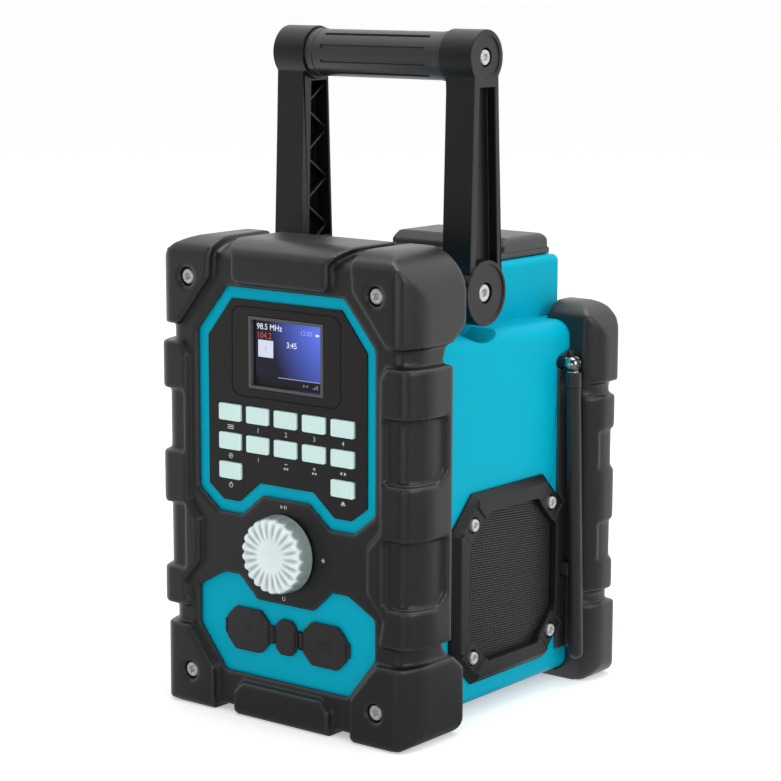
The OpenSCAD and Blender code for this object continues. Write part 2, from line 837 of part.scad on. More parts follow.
module display_lens() {
    color([0.1, 0.15, 0.5]) stand() translate([0, 0, display_z])
        block([-glass_w / 2 + fit / 2, fascia_back - 2.4, -glass_h / 2 + fit / 2],
            [glass_w / 2 - fit / 2, fascia_back - 0.1, glass_h / 2 - fit / 2]);
}

module display_module() {
    color(steel) stand() translate([0, 0, display_z]) {
        block([-display_w / 2 - 3, fascia_back, -display_h / 2 - 3],
            [display_w / 2 + 3, fascia_back + 4, display_h / 2 + 3]);
        // plug that joins the display to the main board
        block([-12, fascia_back + 3, 6 - display_h / 2], [12, board_y, 10 - display_h / 2]);
    }
}

// A cap with a wider foot behind the panel and a stem over its switch
module button(column, row) {
    color([0.8, 0.92, 0.88]) stand() at_button(column, row) {
        block([-button_w / 2, panel_y - button_proud, -button_h / 2],
            [button_w / 2, fascia_back + 0.2, button_h / 2]);
        block([-button_w / 2 - 0.9, fascia_back + 0.1, -button_h / 2 - 0.9],
            [button_w / 2 + 0.9, fascia_back + 1, button_h / 2 + 0.9]);
        bar_y(fascia_back + 0.5, switch_y - button_travel - 0.1, 4);
    }
}
switch_y = keypad_y - 3.2;

module button_preset() { button(-2, 0); }
module button_memory_1() { button(-1, 0); }
module button_memory_2() { button(0, 0); }
module button_memory_3() { button(1, 0); }
module button_memory_4() { button(2, 0); }
module button_mode() { button(-2, 1); }
module button_info() { button(-1, 1); }
module button_tune_down() { button(0, 1); }
module button_tune_up() { button(1, 1); }
module button_scan() { button(2, 1); }
module button_power() { button(-2, 2); }
module button_alarm() { button(2, 2); }

module keypad_board() {
    rim = 2.2;
    half_w = 2 * button_pitch + button_w / 2 + rim;
    low = row_3_z - button_h / 2 - rim;
    color(board_green) stand() {
        block([-half_w, keypad_y, low], [half_w, keypad_y + 1.6, row_1_z + button_h / 2 + rim]);
        all_buttons() {
            block([-3, keypad_y - 2.6, -3], [3, keypad_y + 0.5, 3]);
            bar_y(switch_y, keypad_y - 2, 3.4);
        }
        // ribbon header towards the main board
        block([-15, keypad_y + 1, board_low + 1], [15, board_y, board_low + 5]);
    }
}

module main_board() {
    color(board_green) stand() {
        block([-board_half, board_y, board_low], [board_half, board_y + 1.6, board_high]);
        translate([0, board_y + 1, board_low]) {
            block([-22, 0, 31], [6, 4, 59]);
            block([16, 0, 16], [board_half - 18, 8, 36]);
            block([14 - board_half, 0, 62], [30 - board_half, 12, 80]);
        }
    }
}

// ---------------------------------------------------------------- volume knob

module at_knob() {
    stand() translate([0, 0, knob_z]) children();
}

module encoder_body() {
    color(steel) at_knob() difference() {
        union() {
            bar_y(frame_drop + 0.5, fascia_back + 1, bushing_d - 2 * fit);
            block([-7, fascia_back, -7], [7, fascia_back + 9, 7]);
        }
        bar_y(0, fascia_back + 8, shaft_d + 2 * running);
        bar_y(fascia_back + 2, fascia_back + 8, plunger_d + 2 * running);
    }
}
plunger_d = 9;

module encoder_plunger() {
    color(steel) at_knob() difference() {
        bar_y(fascia_back + 2.2, fascia_back + 8 - push_travel - 0.2, plunger_d);
        bar_y(0, fascia_back + 6, shaft_d + 2 * running);
    }
}

module encoder_shaft() {
    color(steel) at_knob() bar_y(knob_y - 7, fascia_back + 5.8, shaft_d);
}

module volume_knob() {
    flute_w = 2.4;
    face = knob_y - knob_l;
    r = knob_d / 2;
    face_r = knob_face_d / 2;
    dish_r = dish_d / 2;
    color([0.85, 0.88, 0.88]) at_knob() difference() {
        rotate([90, 0, 0]) rotate_extrude() polygon([
            [0, -knob_y], [r, -knob_y], [r, 0.3 * knob_l - knob_y], [r - 0.4, 0.62 * knob_l - knob_y],
            [face_r, -face - 1.6], [face_r - 2.5, -face], [dish_r, -face - 0.5], [dish_r - 3, -face - 1.4],
            [0, -face - 1.9]
        ]);
        // flutes along the rim of the face
        for (i = [0:flutes - 1])
            rotate([0, i * 360 / flutes, 0]) translate([dish_r, face - 1.1, 0])
                rotate([0, 0, 7]) rotate([45, 0, 0]) translate([0, -flute_w / 2, -flute_w / 2])
                    cube([face_r, flute_w, flute_w]);
        bar_y(knob_y - 7.2, knob_y + 1, shaft_d);
    }
}

// ---------------------------------------------------------------- ports

flap_axis_x = strap_w / 2 + 2.9;
flap_axis_y = fascia_y - 1.2;

module port_strap() {
    color(rubber) stand() {
        translate([0, 0, flap_z]) {
            fore_aft(fascia_y - flap_t - 0.3, fascia_y) octagon(strap_w, 20, 3);
            block([flap_axis_x * -1 + 1.4, fascia_y - 2, -5], [flap_axis_x - 1.4, fascia_y - 0.4, 5]);
            bar_y(fascia_y - 1, fascia_back, strap_peg_d);
        }
    }
}

// The right-hand flap, closed: a web with a rolled end, the cover, its pull tab and the plug behind it
module flap() {
    color(rubber) stand() translate([0, 0, flap_z]) {
        translate([flap_x, 0, 0]) {
            fore_aft(fascia_y - flap_t - 0.1, fascia_y - 0.1) octagon(flap_w, flap_h, 6);
            block([flap_w / 2 - 1, fascia_y - 1.9, -4.5], [flap_w / 2 + 2, fascia_y - 0.2, 4.5]);
            block([-plug_w / 2, fascia_y - 0.6, -plug_h / 2], [plug_w / 2, fascia_y + plug_t, plug_h / 2]);
        }
        block([flap_axis_x, fascia_y - 2, -5], [flap_x, fascia_y - 0.4, 5]);
        translate([flap_axis_x, flap_axis_y, -5]) cylinder(h = 10, d = 1.6);
    }
}

module usb_flap() { flap(); }
module aux_flap() { mirror([1, 0, 0]) flap(); }

module aux_jack() {
    color(black) stand() translate([-flap_x, 0, flap_z]) difference() {
        union() {
            bar_y(fascia_y + plug_t + 0.8, fascia_back + 4, jack_d);
            block([-5.5, fascia_back + 3, -5.5], [5.5, fascia_back + aux_l, 5.5]);
        }
        bar_y(0, fascia_y + plug_t + 0.8 + aux_l, aux_d);
    }
}

module usb_socket() {
    mouth = fascia_y + plug_t + 0.8;
    color(steel) stand() translate([flap_x, 0, flap_z]) {
        difference() {
            block([-usb_w / 2, mouth, -usb_h / 2], [usb_w / 2, fascia_back + 16, usb_h / 2]);
            block([-usb_w / 2 + 0.7, 0, -usb_h / 2 + 0.7],
                [usb_w / 2 - 0.7, fascia_back + 13, usb_h / 2 - 0.7]);
        }
        block([-usb_w / 2 + 1.6, mouth + 1, 0.6], [usb_w / 2 - 1.6, fascia_back + 13, 2]);
    }
}

// ---------------------------------------------------------------- speakers

module at_speaker() {
    stand() translate([0, speaker_y, speaker_z]) children();
}

// An octagonal plate along X whose sides slope in from its base to its face: four crossed prisms
module sloped_octagon(base_w, base_cut, face_w, face_cut, from, edge, to) {
    intersection_for (a = [0, 45, 90, 135]) {
        base = a % 90 == 0 ? base_w / 2 : (base_w - base_cut) / sqrt(2);
        face = a % 90 == 0 ? face_w / 2 : (face_w - face_cut) / sqrt(2);
        rotate([a, 0, 0]) translate([0, 0, -base_w]) linear_extrude(2 * base_w)
            polygon([[from, -base], [edge, -base], [to, -face], [to, face], [edge, base], [from, base]]);
    }
}

// The right-hand ring: a sloped frame, its grille opening with a rebate behind, and lower pads for the screws
module speaker_ring() {
    face = half_case + ring_t;
    pad_l = 18;
    recess_d = ring_head_d + 1.8;
    color(rubber) at_speaker() difference() {
        sloped_octagon(ring_w, ring_cut, ring_face_w, ring_face_cut, half_case, half_case + 1.5, face);
        across(half_case - 1, face + 1) octagon(grille_w, grille_w, grille_cut);
        across(half_case - 1, half_case + 1.4) octagon(grille_w + 5, grille_w + 5, grille_cut + 1.2);
        for (y = [-1, 1], z = [-1, 1])
            translate([0, y * ring_screw, z * ring_screw]) {
                rotate([y * z * -45, 0, 0]) block([face - 0.8, -pad_l / 2, -20], [face + 1, pad_l / 2, 20]);
                bar_x(half_case - 1, face + 1, ring_shank_d + 2 * fit);
                bar_x(face - ring_head_depth, face + 1, recess_d);
            }
    }
}

module speaker_mesh() {
    mesh_w = grille_w + 5 - 2 * fit;
    color(black) at_speaker() difference() {
        across(half_case + fit, half_case + 1.2) octagon(mesh_w, mesh_w, grille_cut + 1.2);
        for (z = [-30:6:30])
            block([half_case - 1, -26, z - 1.2], [half_case + 3, 26, z + 1.2]);
    }
}

// Basket with flange and magnet
module loudspeaker() {
    front = half_case - wall - fit / 2;
    r = speaker_d / 2;
    color([0.4, 0.4, 0.42]) at_speaker() rotate([0, 90, 0]) rotate_extrude() polygon([
        [0, front - speaker_l], [21, front - speaker_l], [21, front - speaker_l + 11],
        [15, front - speaker_l + 11], [15, front - 20], [r - 5, front - 2], [r, front - 2],
        [r, front], [r - 7, front], [r - 7, front - 1.8],
        [11, front - 18.6], [11, front - speaker_l + 9], [0, front - speaker_l + 9]
    ]);
}

// Paper cone with its rolled surround and dust cap
module speaker_cone() {
    front = half_case - wall - fit / 2;
    r = speaker_d / 2 - 7;
    color(black) at_speaker() rotate([0, 90, 0]) rotate_extrude() polygon([
        [0, front - 12], [7, front - 12.6], [10.5, front - 14.5], [r - 8, front - 4], [r - 6, front - 1.4],
        [r - 3.5, front - 0.6], [r - 1.4, front - 1.2], [r - 0.4, front - 1.9], [r - 1.4, front - 2.2],
        [r - 3.5, front - 1.8], [r - 5.4, front - 2.6], [r - 7.4, front - 5.2], [10.4, front - 16],
        [6.8, front - 14], [0, front - 13.4]
    ]);
}

// The right-hand ring leaves room for the antenna's clip
module speaker_ring_right() {
    difference() {
        speaker_ring();
        color(rubber) stand() translate([0, clip_y, clip_z])
            block([half_case - 1, -clip_reach - slip, -clip_half - slip], [half_guard, 20, clip_half + slip]);
    }
}
module speaker_ring_left() { mirror([1, 0, 0]) speaker_ring(); }
module speaker_mesh_right() { speaker_mesh(); }
module speaker_mesh_left() { mirror([1, 0, 0]) speaker_mesh(); }
module loudspeaker_right() { loudspeaker(); }
module loudspeaker_left() { mirror([1, 0, 0]) loudspeaker(); }
module speaker_cone_right() { speaker_cone(); }
module speaker_cone_left() { mirror([1, 0, 0]) speaker_cone(); }

// ---------------------------------------------------------------- handle

// The arm seen from the side, tapering from the pivot to the grip
module arm_side(front_in, rear_in) {
    low_z = pivot_z + 40.5;
    high_z = pivot_z + 111.5;
    slope = (arm_low_w - arm_high_w) / 2 / (high_z - low_z);
    low_half = arm_low_w / 2 + slope * (low_z - pivot_z);
    high_half = arm_high_w / 2 - slope * (grip_z - high_z);
    polygon([
        [pivot_y - low_half + front_in, pivot_z], [pivot_y + low_half - rear_in, pivot_z],
        [grip_y + high_half - rear_in, grip_z], [grip_y - high_half + front_in, grip_z]
    ]);
}

// The right-hand arm: pivot disc, grip cap, a long recess outside and a ribbed pocket inside
module handle_arm() {
    web = 4;
    arm_face = arm_out - 1;
    dish = 0.8;
    recess_high = grip_z - cap_d / 2 - 1;
    pocket_low = pivot_z + pivot_disc_d / 2 + 5;
    pocket_floor = arm_face - arm_recess - web;
    rib_front = pivot_y - 7.5;
    rib_back = pivot_y + 12.8;
    rib_t = 1.8;
    color(black) stand() difference() {
        union() {
            translate([0, pivot_y, pivot_z]) bar_x(arm_in, arm_out, pivot_disc_d);
            translate([0, grip_y, grip_z]) bar_x(arm_in - cap_in, arm_face, cap_d);
            difference() {
                across(arm_in, arm_face) arm_side(0, 0);
                // long recess in the outer face
                intersection() {
                    across(arm_face - arm_recess, arm_out + 1) arm_side(5, 3.5);
                    block([0, 0, pivot_z], [guard_w, radio_d, recess_high]);
                }
                // pocket in the inner face, crossed by ribs in a zigzag
                difference() {
                    intersection() {
                        across(arm_in - 1, pocket_floor) arm_side(7, 1.5);
                        block([0, 0, pocket_low], [guard_w, radio_d, recess_high]);
                    }
                    across(arm_in + 3, arm_face) for (i = [0:3]) {
                        top = recess_high - i * rib_pitch;
                        middle = top - rib_pitch / 2;
                        polygon([[rib_back, top], [rib_front, middle], [rib_front, middle - rib_t],
                            [rib_back, top - rib_t]]);
                        polygon([[rib_front, middle], [rib_back, top - rib_pitch],
                            [rib_back, top - rib_pitch - rib_t], [rib_front, middle - rib_t]]);
                    }
                }
            }
        }
        // dished faces of the disc and the cap
        translate([0, pivot_y, pivot_z]) bar_x(arm_out - dish, arm_out + 1, pivot_disc_d - 4.6);
        translate([0, grip_y, grip_z]) bar_x(arm_face - dish, arm_out + 1, cap_d - 6);
        translate([0, pivot_y, pivot_z]) {
            bar_x(0, arm_out + 1, bush_d + 2 * running);
            bar_x(head_floor_x, arm_out + 1, pivot_head_d + 1.5);
        }
        translate([0, grip_y, grip_z]) {
            bar_x(0, head_floor_x - 1, tube_d);
            bar_x(head_floor_x - 2, arm_out + 1, screw_shank_d + 2 * fit);
            bar_x(head_floor_x, arm_out + 1, head_recess_d);
        }
    }
}

module handle_arm_right() { handle_arm(); }
module handle_arm_left() { mirror([1, 0, 0]) handle_arm(); }

module handle_grip() {
    end = arm_in - cap_in;
    groove_end = end - 11;
    color(black) stand() translate([0, grip_y, grip_z]) difference() {
        union() {
            bar_x(-end, end, grip_d - 0.8);
            both_sides() bar_x(end - 5, end, grip_d);
        }
        bar_x(-end - 1, end + 1, tube_d);
        for (i = [0:9])
            rotate([18 + i * 36, 0, 0])
                block([-groove_end, grip_d / 2 - 1.3, -0.8], [groove_end, grip_d / 2 + 1, 0.8]);
    }
}

module grip_tube() {
    end = head_floor_x - 1;
    color(steel) stand() translate([0, grip_y, grip_z]) difference() {
        bar_x(-end, end, tube_d);
        bar_x(-end - 1, end + 1, screw_shank_d);
    }
}

// A socket-head screw along X: its head's outer face at the given place
module screw_x(face, reach, head_d, shank_d) {
    difference() {
        union() {
            bar_x(face - screw_head_t, face, head_d);
            bar_x(face - reach, face - 1, shank_d);
        }
        translate([face - 2, 0, 0]) rotate([0, 90, 0]) cylinder(h = 3, d = head_d * 0.48, $fn = 6);
    }
}

module grip_screws() {
    color(steel) stand() both_sides() translate([0, grip_y, grip_z])
        screw_x(head_floor_x + screw_head_t, 17, screw_head_d, screw_shank_d);
}

module pivot_bushes() {
    color(steel) stand() both_sides() translate([0, pivot_y, pivot_z]) difference() {
        union() {
            bar_x(half_box, arm_in - slip, 2 * bush_d);
            bar_x(half_box, head_floor_x + fit, bush_d);
        }
        bar_x(half_box - 1, arm_out, pivot_d);
    }
}

module pivot_screws() {
    color(steel) stand() both_sides() translate([0, pivot_y, pivot_z])
        screw_x(head_floor_x + fit + screw_head_t, head_floor_x - half_box + 15, pivot_head_d, pivot_d);
}

// ---------------------------------------------------------------- battery bay

module battery_bay() {
    low = box_z - bay_d;
    top = box_z - wall;
    color(black) stand() difference() {
        union() {
            block([-bay_w / 2 - bay_wall, bay_y - bay_wall, low - bay_wall],
                [bay_w / 2 + bay_wall, bay_y + bay_l + bay_wall, top]);
        }
        block([-bay_w / 2, bay_y, low], [bay_w / 2, bay_y + bay_l, top + 1]);
    }
}

module battery_terminals() {
    low = box_z - bay_d;
    middle = bay_y + bay_l / 2;
    color(black) stand() block([-bay_w / 4, middle - 7, low], [bay_w / 4, middle + 7, low + 5]);
    color("gold") stand() for (x = [-14:7:14])
        block([x - 0.5, middle - 5, low + 4], [x + 0.5, middle + 5, low + 13]);
}

module battery_lid() {
    under = box_z + slip;
    half_lid = lid_w / 2;
    color(rubber) stand() difference() {
        union() {
            block([-half_lid, hinge_y + 3.6, under], [half_lid, lid_back, under + lid_flange_t]);
            intersection() {
                fore_aft(lid_step_y, lid_back) rounded_panel(half_lid - 1, under, under + lid_t, 1, lid_r);
                across(-half_lid, half_lid) {
                    polygon([
                        [lid_step_y, under], [lid_back, under], [lid_back, under + lid_t - lid_r],
                        [lid_back - lid_r, under + lid_t], [lid_step_y + 5, under + lid_t],
                        [lid_step_y, under + lid_t - 5]
                    ]);
                    translate([lid_back - lid_r, under + lid_t - lid_r]) circle(lid_r);
                }
            }
            translate([0, hinge_y, hinge_z]) bar_x(-hinge_reach, hinge_reach, 5.6);
            block([-hinge_reach, hinge_y, under], [hinge_reach, hinge_y + 5, under + 2.6]);
        }
        translate([0, hinge_y, hinge_z]) bar_x(-hinge_reach - 1, hinge_reach + 1, lid_pin_d + 2 * running);
        gasket_ring(0);
        // slot for the latch at the back edge
        block([-latch_w / 2 - slip, lid_back - 4, under - 1],
            [latch_w / 2 + slip, lid_back + 1, under + lid_t + 1]);
        translate([0, latch_y, latch_z]) bar_x(-latch_w / 2 - 3, latch_w / 2 + 3, latch_pin_d);
    }
}
hinge_reach = bay_w / 2 - 6.4;
latch_w = 24;
latch_pin_d = 2;
latch_y = lid_back - 1.6;
latch_z = box_z + 6.5;

module gasket_ring(shrink) {
    half_x = bay_w / 2 - 2;
    difference() {
        block([-half_x + shrink, bay_y + 4 + shrink, box_z],
            [half_x - shrink, bay_y + bay_l - 2 - shrink, box_z + slip + 1.6]);
        block([-half_x + 2.4 - shrink, bay_y + 6.4 - shrink, box_z - 1],
            [half_x - 2.4 + shrink, bay_y + bay_l - 4.4 + shrink, box_z + 5]);
    }
}

module lid_gasket() {
    color([0.3, 0.3, 0.3]) stand() difference() {
        gasket_ring(fit / 2);
        block([-half_guard, 0, box_z - 1], [half_guard, radio_d, box_z + slip]);
    }
}

module lid_hinge_pin() {
    reach = bay_w / 2 - 2;
    color(steel) stand() translate([0, hinge_y, hinge_z]) bar_x(-reach, reach, lid_pin_d);
}

// A small lever with its own pin, hanging over the case's back edge
module lid_latch() {
    color(black) stand() {
        block([-latch_w / 2, box_back + slip, box_z - 7], [latch_w / 2, box_back + slip + 2, latch_z + 1]);
        block([-latch_w / 2, latch_y - 1.2, latch_z - 1.2],
            [latch_w / 2, box_back + slip + 2, latch_z + 1.2]);
        translate([0, latch_y, latch_z]) {
            bar_x(-latch_w / 2, latch_w / 2, 2.4);
            bar_x(-latch_w / 2 - 2.6, latch_w / 2 + 2.6, latch_pin_d - 2 * running);
        }
    }
}

// ---------------------------------------------------------------- antenna

module at_antenna() {
    stand() translate([antenna_x, antenna_y, antenna_z]) children();
}

antenna_pin_d = 2.4;
knuckle_d = 8.8;
eye_t = 3.8;

// A stem through the case wall, carrying the ball-shaped fork that holds the rod's eye
module antenna_base() {
    stem_end = half_case - antenna_x;
    color(steel) at_antenna() difference() {
        union() {
            bar_x(stem_end - wall - 3, 0, antenna_stem_d - 2 * fit);
            bar_x(stem_end - wall - 3, stem_end - wall - fit / 2, antenna_stem_d + 5);
            sphere(d = knuckle_d);
        }
        block([-3.8, -eye_t / 2 - running, -9], [9, eye_t / 2 + running, 9]);
        bar_y(-9, 9, antenna_pin_d);
    }
}

module antenna_pin() {
    color(steel) at_antenna() bar_y(-knuckle_d / 2 + 0.6, knuckle_d / 2 - 0.6, antenna_pin_d);
}

module antenna_rod() {
    neck = 5;
    sleeve_l = 8.5;
    color(black) at_antenna() difference() {
        union() {
            bar_y(-eye_t / 2, eye_t / 2, 6.6);
            block([-2.6, -eye_t / 2, -neck - 1.8], [2.6, eye_t / 2, 0]);
            rotate([rod_back, -rod_lean, 0]) {
                translate([0, 0, tip_d / 2 - rod_l])
                    cylinder(h = rod_l - tip_d / 2 - neck, d1 = tip_d, d2 = rod_d - 0.6);
                translate([0, 0, -neck - sleeve_l]) cylinder(h = sleeve_l, d = rod_d);
                translate([0, 0, tip_d / 2 - rod_l]) sphere(d = tip_d);
            }
        }
        bar_y(-9, 9, antenna_pin_d + 2 * running);
    }
}

// Two prongs on the channel's floor, either side of the rod
module antenna_clip() {
    floor_x = half_case + channel_t;
    prong_t = 1.8;
    color(black) stand() translate([0, clip_y, clip_z]) {
        for (side = [-1, 1])
            block([floor_x, side * (clip_reach - prong_t / 2) - prong_t / 2, -clip_half],
                [floor_x + 8.5, side * (clip_reach - prong_t / 2) + prong_t / 2, clip_half]);
        block([floor_x, -clip_reach, -clip_half], [floor_x + 0.6, clip_reach, clip_half]);
    }
}
clip_y = antenna_y + (antenna_z - clip_z) * tan(rod_back);
clip_reach = (rod_d + tip_d) / 4 + 2.3;
clip_half = 3.5;

// ---------------------------------------------------------------- fasteners

// A socket-head screw along Y, its head's face towards -Y at the given place
module screw_y(face, reach, head_d, shank_d) {
    difference() {
        union() {
            bar_y(face, face + screw_head_t, head_d);
            bar_y(face + 1, face + reach, shank_d);
        }
        bar_y_hex(face - 1, face + 2, head_d * 0.48);
    }
}

module bar_y_hex(from, to, d) {
    translate([0, from, 0]) rotate([-90, 0, 0]) cylinder(h = to - from, d = d, $fn = 6);
}

module front_guard_screws() {
    color(steel) stand() front_screw_places()
        screw_y(frame_drop + 0.3 - screw_head_t, fascia_back + screw_bite, screw_head_d, screw_shank_d);
}

module rear_guard_screws() {
    color(steel) stand() rear_screw_places() translate([0, radio_d, 0]) mirror([0, 1, 0])
        screw_y(frame_drop - screw_head_t, rear_proud + screw_bite, screw_head_d, screw_shank_d);
}

module speaker_screws() {
    face = half_case + ring_t - ring_head_depth + screw_head_t;
    color(steel) stand() speaker_places()
        for (y = [-1, 1], z = [-1, 1])
            translate([0, y * ring_screw, z * ring_screw]) screw_x(face, 13, ring_head_d, ring_shank_d);
}

front_guard();
rear_guard();
main_housing();
front_fascia();
rear_cover();
control_panel();
display_frame();
display_lens();
display_module();
button_preset();
button_memory_1();
button_memory_2();
button_memory_3();
button_memory_4();
button_mode();
button_info();
button_tune_down();
button_tune_up();
button_scan();
button_power();
button_alarm();
keypad_board();
main_board();
encoder_body();
encoder_plunger();
encoder_shaft();
volume_knob();
port_strap();
aux_flap();
usb_flap();
aux_jack();
usb_socket();
speaker_ring_left();
speaker_ring_right();
speaker_mesh_left();
speaker_mesh_right();
loudspeaker_left();
loudspeaker_right();
speaker_cone_left();
speaker_cone_right();
handle_arm_left();
handle_arm_right();
handle_grip();
grip_tube();
grip_screws();
pivot_bushes();
pivot_screws();
battery_bay();
battery_terminals();
battery_lid();
lid_gasket();
lid_hinge_pin();
lid_latch();
antenna_base();
antenna_pin();
antenna_rod();
antenna_clip();
front_guard_screws();
rear_guard_screws();
speaker_screws();
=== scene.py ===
"""The looks of a jobsite radio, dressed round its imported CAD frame."""

import json
import math

import bpy
from mathutils import Matrix, Vector

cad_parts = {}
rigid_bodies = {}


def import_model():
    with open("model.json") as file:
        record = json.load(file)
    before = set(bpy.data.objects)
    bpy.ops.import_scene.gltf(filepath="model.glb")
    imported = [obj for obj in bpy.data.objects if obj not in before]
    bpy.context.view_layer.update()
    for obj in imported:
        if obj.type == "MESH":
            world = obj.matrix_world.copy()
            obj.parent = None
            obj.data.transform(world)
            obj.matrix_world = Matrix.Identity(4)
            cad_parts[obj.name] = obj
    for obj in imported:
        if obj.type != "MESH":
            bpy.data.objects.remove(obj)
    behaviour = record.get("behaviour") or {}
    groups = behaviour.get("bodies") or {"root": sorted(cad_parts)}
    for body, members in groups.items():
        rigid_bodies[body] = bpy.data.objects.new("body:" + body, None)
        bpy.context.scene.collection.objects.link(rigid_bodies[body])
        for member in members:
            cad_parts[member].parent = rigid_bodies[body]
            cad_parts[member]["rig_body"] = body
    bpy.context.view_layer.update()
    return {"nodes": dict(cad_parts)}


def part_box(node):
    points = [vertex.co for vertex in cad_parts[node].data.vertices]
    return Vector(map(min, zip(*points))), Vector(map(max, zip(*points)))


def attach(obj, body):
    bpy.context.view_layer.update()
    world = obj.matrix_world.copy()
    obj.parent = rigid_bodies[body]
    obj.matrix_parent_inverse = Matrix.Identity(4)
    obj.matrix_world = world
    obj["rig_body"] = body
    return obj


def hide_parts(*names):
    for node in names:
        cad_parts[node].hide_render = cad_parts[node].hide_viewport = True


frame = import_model()
bpy.ops.object.select_all(action="DESELECT")

MM = 0.001

# ---------------------------------------------------------------- camera
# A long lens on a stand off the radio's right front corner, a little higher than the radio.
# It looks down by about ten degrees, and its film leans by a fifth of a degree.
camera_place = Vector((0.84329, -1.08186, 0.41382))
camera_azimuth = math.radians(37.90)
camera_elevation = math.radians(9.90)
camera_roll = math.radians(0.19)
film_width = 36
focal_length = 112.76
nearest, furthest = 0.05, 50

back = Vector((
    math.sin(camera_azimuth) * math.cos(camera_elevation),
    -math.cos(camera_azimuth) * math.cos(camera_elevation),
    math.sin(camera_elevation),
))
level = Vector((math.cos(camera_azimuth), math.sin(camera_azimuth), 0))
upright = back.cross(level)
right = math.cos(camera_roll) * level + math.sin(camera_roll) * upright
up = back.cross(right)
camera = bpy.data.objects.new("camera", bpy.data.cameras.new("camera"))
bpy.context.scene.collection.objects.link(camera)
camera.matrix_world = Matrix((
    (right.x, up.x, back.x, camera_place.x),
    (right.y, up.y, back.y, camera_place.y),
    (right.z, up.z, back.z, camera_place.z),
    (0, 0, 0, 1),
))
camera.data.sensor_width = film_width
camera.data.lens = focal_length
camera.data.clip_start = nearest
camera.data.clip_end = furthest
bpy.context.scene.camera = camera
bpy.context.scene.view_settings.view_transform = "Standard"

# ---------------------------------------------------------------- light and floor
# A white studio sweep that is dark only behind the camera, with soft boxes above, to the right and low
# in front. The floor stays white to the camera and keeps the radio's shadow.
surround_light = 0.68
floor_size = 40
floor_white = (0.86, 0.86, 0.86, 1)
floor_glow = 0.40
camera_side_gloss = 0.03
floor_camera_side_gloss = 0.25
far_side_gloss = 1.1
gloss_falls_between = (-0.25, 0.45)
radio_middle = (0, 0, 0.18)
radio_foot = (0, 0, 0.06)
soft_boxes = (
    # name, position, what it faces, size in metres, watts
    ("soft_box_above", (0.1, 0.2, 1.7), radio_middle, 1.4, 14),
    ("soft_box_right", (1.8, -0.35, 0.8), radio_middle, 1.2, 11),
    ("soft_box_low", (0.45, -1.7, 0.12), radio_foot, 0.6, 3.5),
)


def mapped(nodes, links, value, start=(0, 1), end=(0, 1), course="LINEAR"):
    """Stretches a node's output from the range start to the range end."""
    stretch = nodes.new("ShaderNodeMapRange")
    stretch.interpolation_type = course
    for limit, number in zip(("From Min", "From Max", "To Min", "To Max"), (*start, *end)):
        stretch.inputs[limit].default_value = number
    links.new(value, stretch.inputs["Value"])
    return stretch.outputs["Result"]


def darker_towards_camera(nodes, links, direction, darkest):
    """The brightness that glossy surfaces reflect: white at the far side, nearly black behind the camera."""
    length_one = nodes.new("ShaderNodeVectorMath")
    length_one.operation = "NORMALIZE"
    facing = nodes.new("ShaderNodeVectorMath")
    facing.operation = "DOT_PRODUCT"
    facing.inputs[1].default_value = (back.x, back.y, 0)
    links.new(direction, length_one.inputs[0])
    links.new(length_one.outputs["Vector"], facing.inputs[0])
    return mapped(nodes, links, facing.outputs["Value"], gloss_falls_between, (far_side_gloss, darkest),
        "SMOOTHSTEP")


studio = bpy.data.worlds.new("studio")
bpy.context.scene.world = studio
studio.use_nodes = True
nodes, links = studio.node_tree.nodes, studio.node_tree.links
nodes.clear()
seen = nodes.new("ShaderNodeLightPath")
direction = nodes.new("ShaderNodeTexCoord")
straight = nodes.new("ShaderNodeMath")
straight.operation = "MAXIMUM"
plain = nodes.new("ShaderNodeMix")
plain.inputs["A"].default_value = surround_light
plain.inputs["B"].default_value = 1
strength = nodes.new("ShaderNodeMix")
backdrop = nodes.new("ShaderNodeBackground")
backdrop.inputs["Color"].default_value = (1, 1, 1, 1)
sky = nodes.new("ShaderNodeOutputWorld")
sky_gloss = darker_towards_camera(nodes, links, direction.outputs["Generated"], camera_side_gloss)
links.new(seen.outputs["Is Camera Ray"], straight.inputs[0])
links.new(seen.outputs["Is Transmission Ray"], straight.inputs[1])
links.new(straight.outputs[0], plain.inputs["Factor"])
links.new(seen.outputs["Is Glossy Ray"], strength.inputs["Factor"])
links.new(plain.outputs["Result"], strength.inputs["A"])
links.new(sky_gloss, strength.inputs["B"])
links.new(strength.outputs["Result"], backdrop.inputs["Strength"])
links.new(backdrop.outputs[0], sky.inputs["Surface"])

for name, position, aim, size, watts in soft_boxes:
    lamp = bpy.data.objects.new(name, bpy.data.lights.new(name, "AREA"))
    bpy.context.scene.collection.objects.link(lamp)
    lamp.data.size = size
    lamp.data.energy = watts
    lamp.location = position
    lamp.rotation_euler = (Vector(aim) - Vector(position)).to_track_quat("-Z", "Y").to_euler()

bpy.ops.mesh.primitive_plane_add(size=floor_size, location=(0, 0, 0))
floor = bpy.context.object
floor.name = "floor"
floor_finish = bpy.data.materials.new("floor_white")
floor_finish.use_nodes = True
nodes, links = floor_finish.node_tree.nodes, floor_finish.node_tree.links
nodes.clear()
matte = nodes.new("ShaderNodeBsdfDiffuse")
matte.inputs["Color"].default_value = floor_white
glow = nodes.new("ShaderNodeEmission")
mirrored_floor = nodes.new("ShaderNodeEmission")
seen = nodes.new("ShaderNodeLightPath")
place = nodes.new("ShaderNodeTexCoord")
glow_strength = nodes.new("ShaderNodeMath")
glow_strength.operation = "MULTIPLY"
glow_strength.inputs[1].default_value = floor_glow
both = nodes.new("ShaderNodeAddShader")
seen_or_mirrored = nodes.new("ShaderNodeMixShader")
surface = nodes.new("ShaderNodeOutputMaterial")
floor_gloss = darker_towards_camera(nodes, links, place.outputs["Object"], floor_camera_side_gloss)
links.new(seen.outputs["Is Camera Ray"], glow_strength.inputs[0])
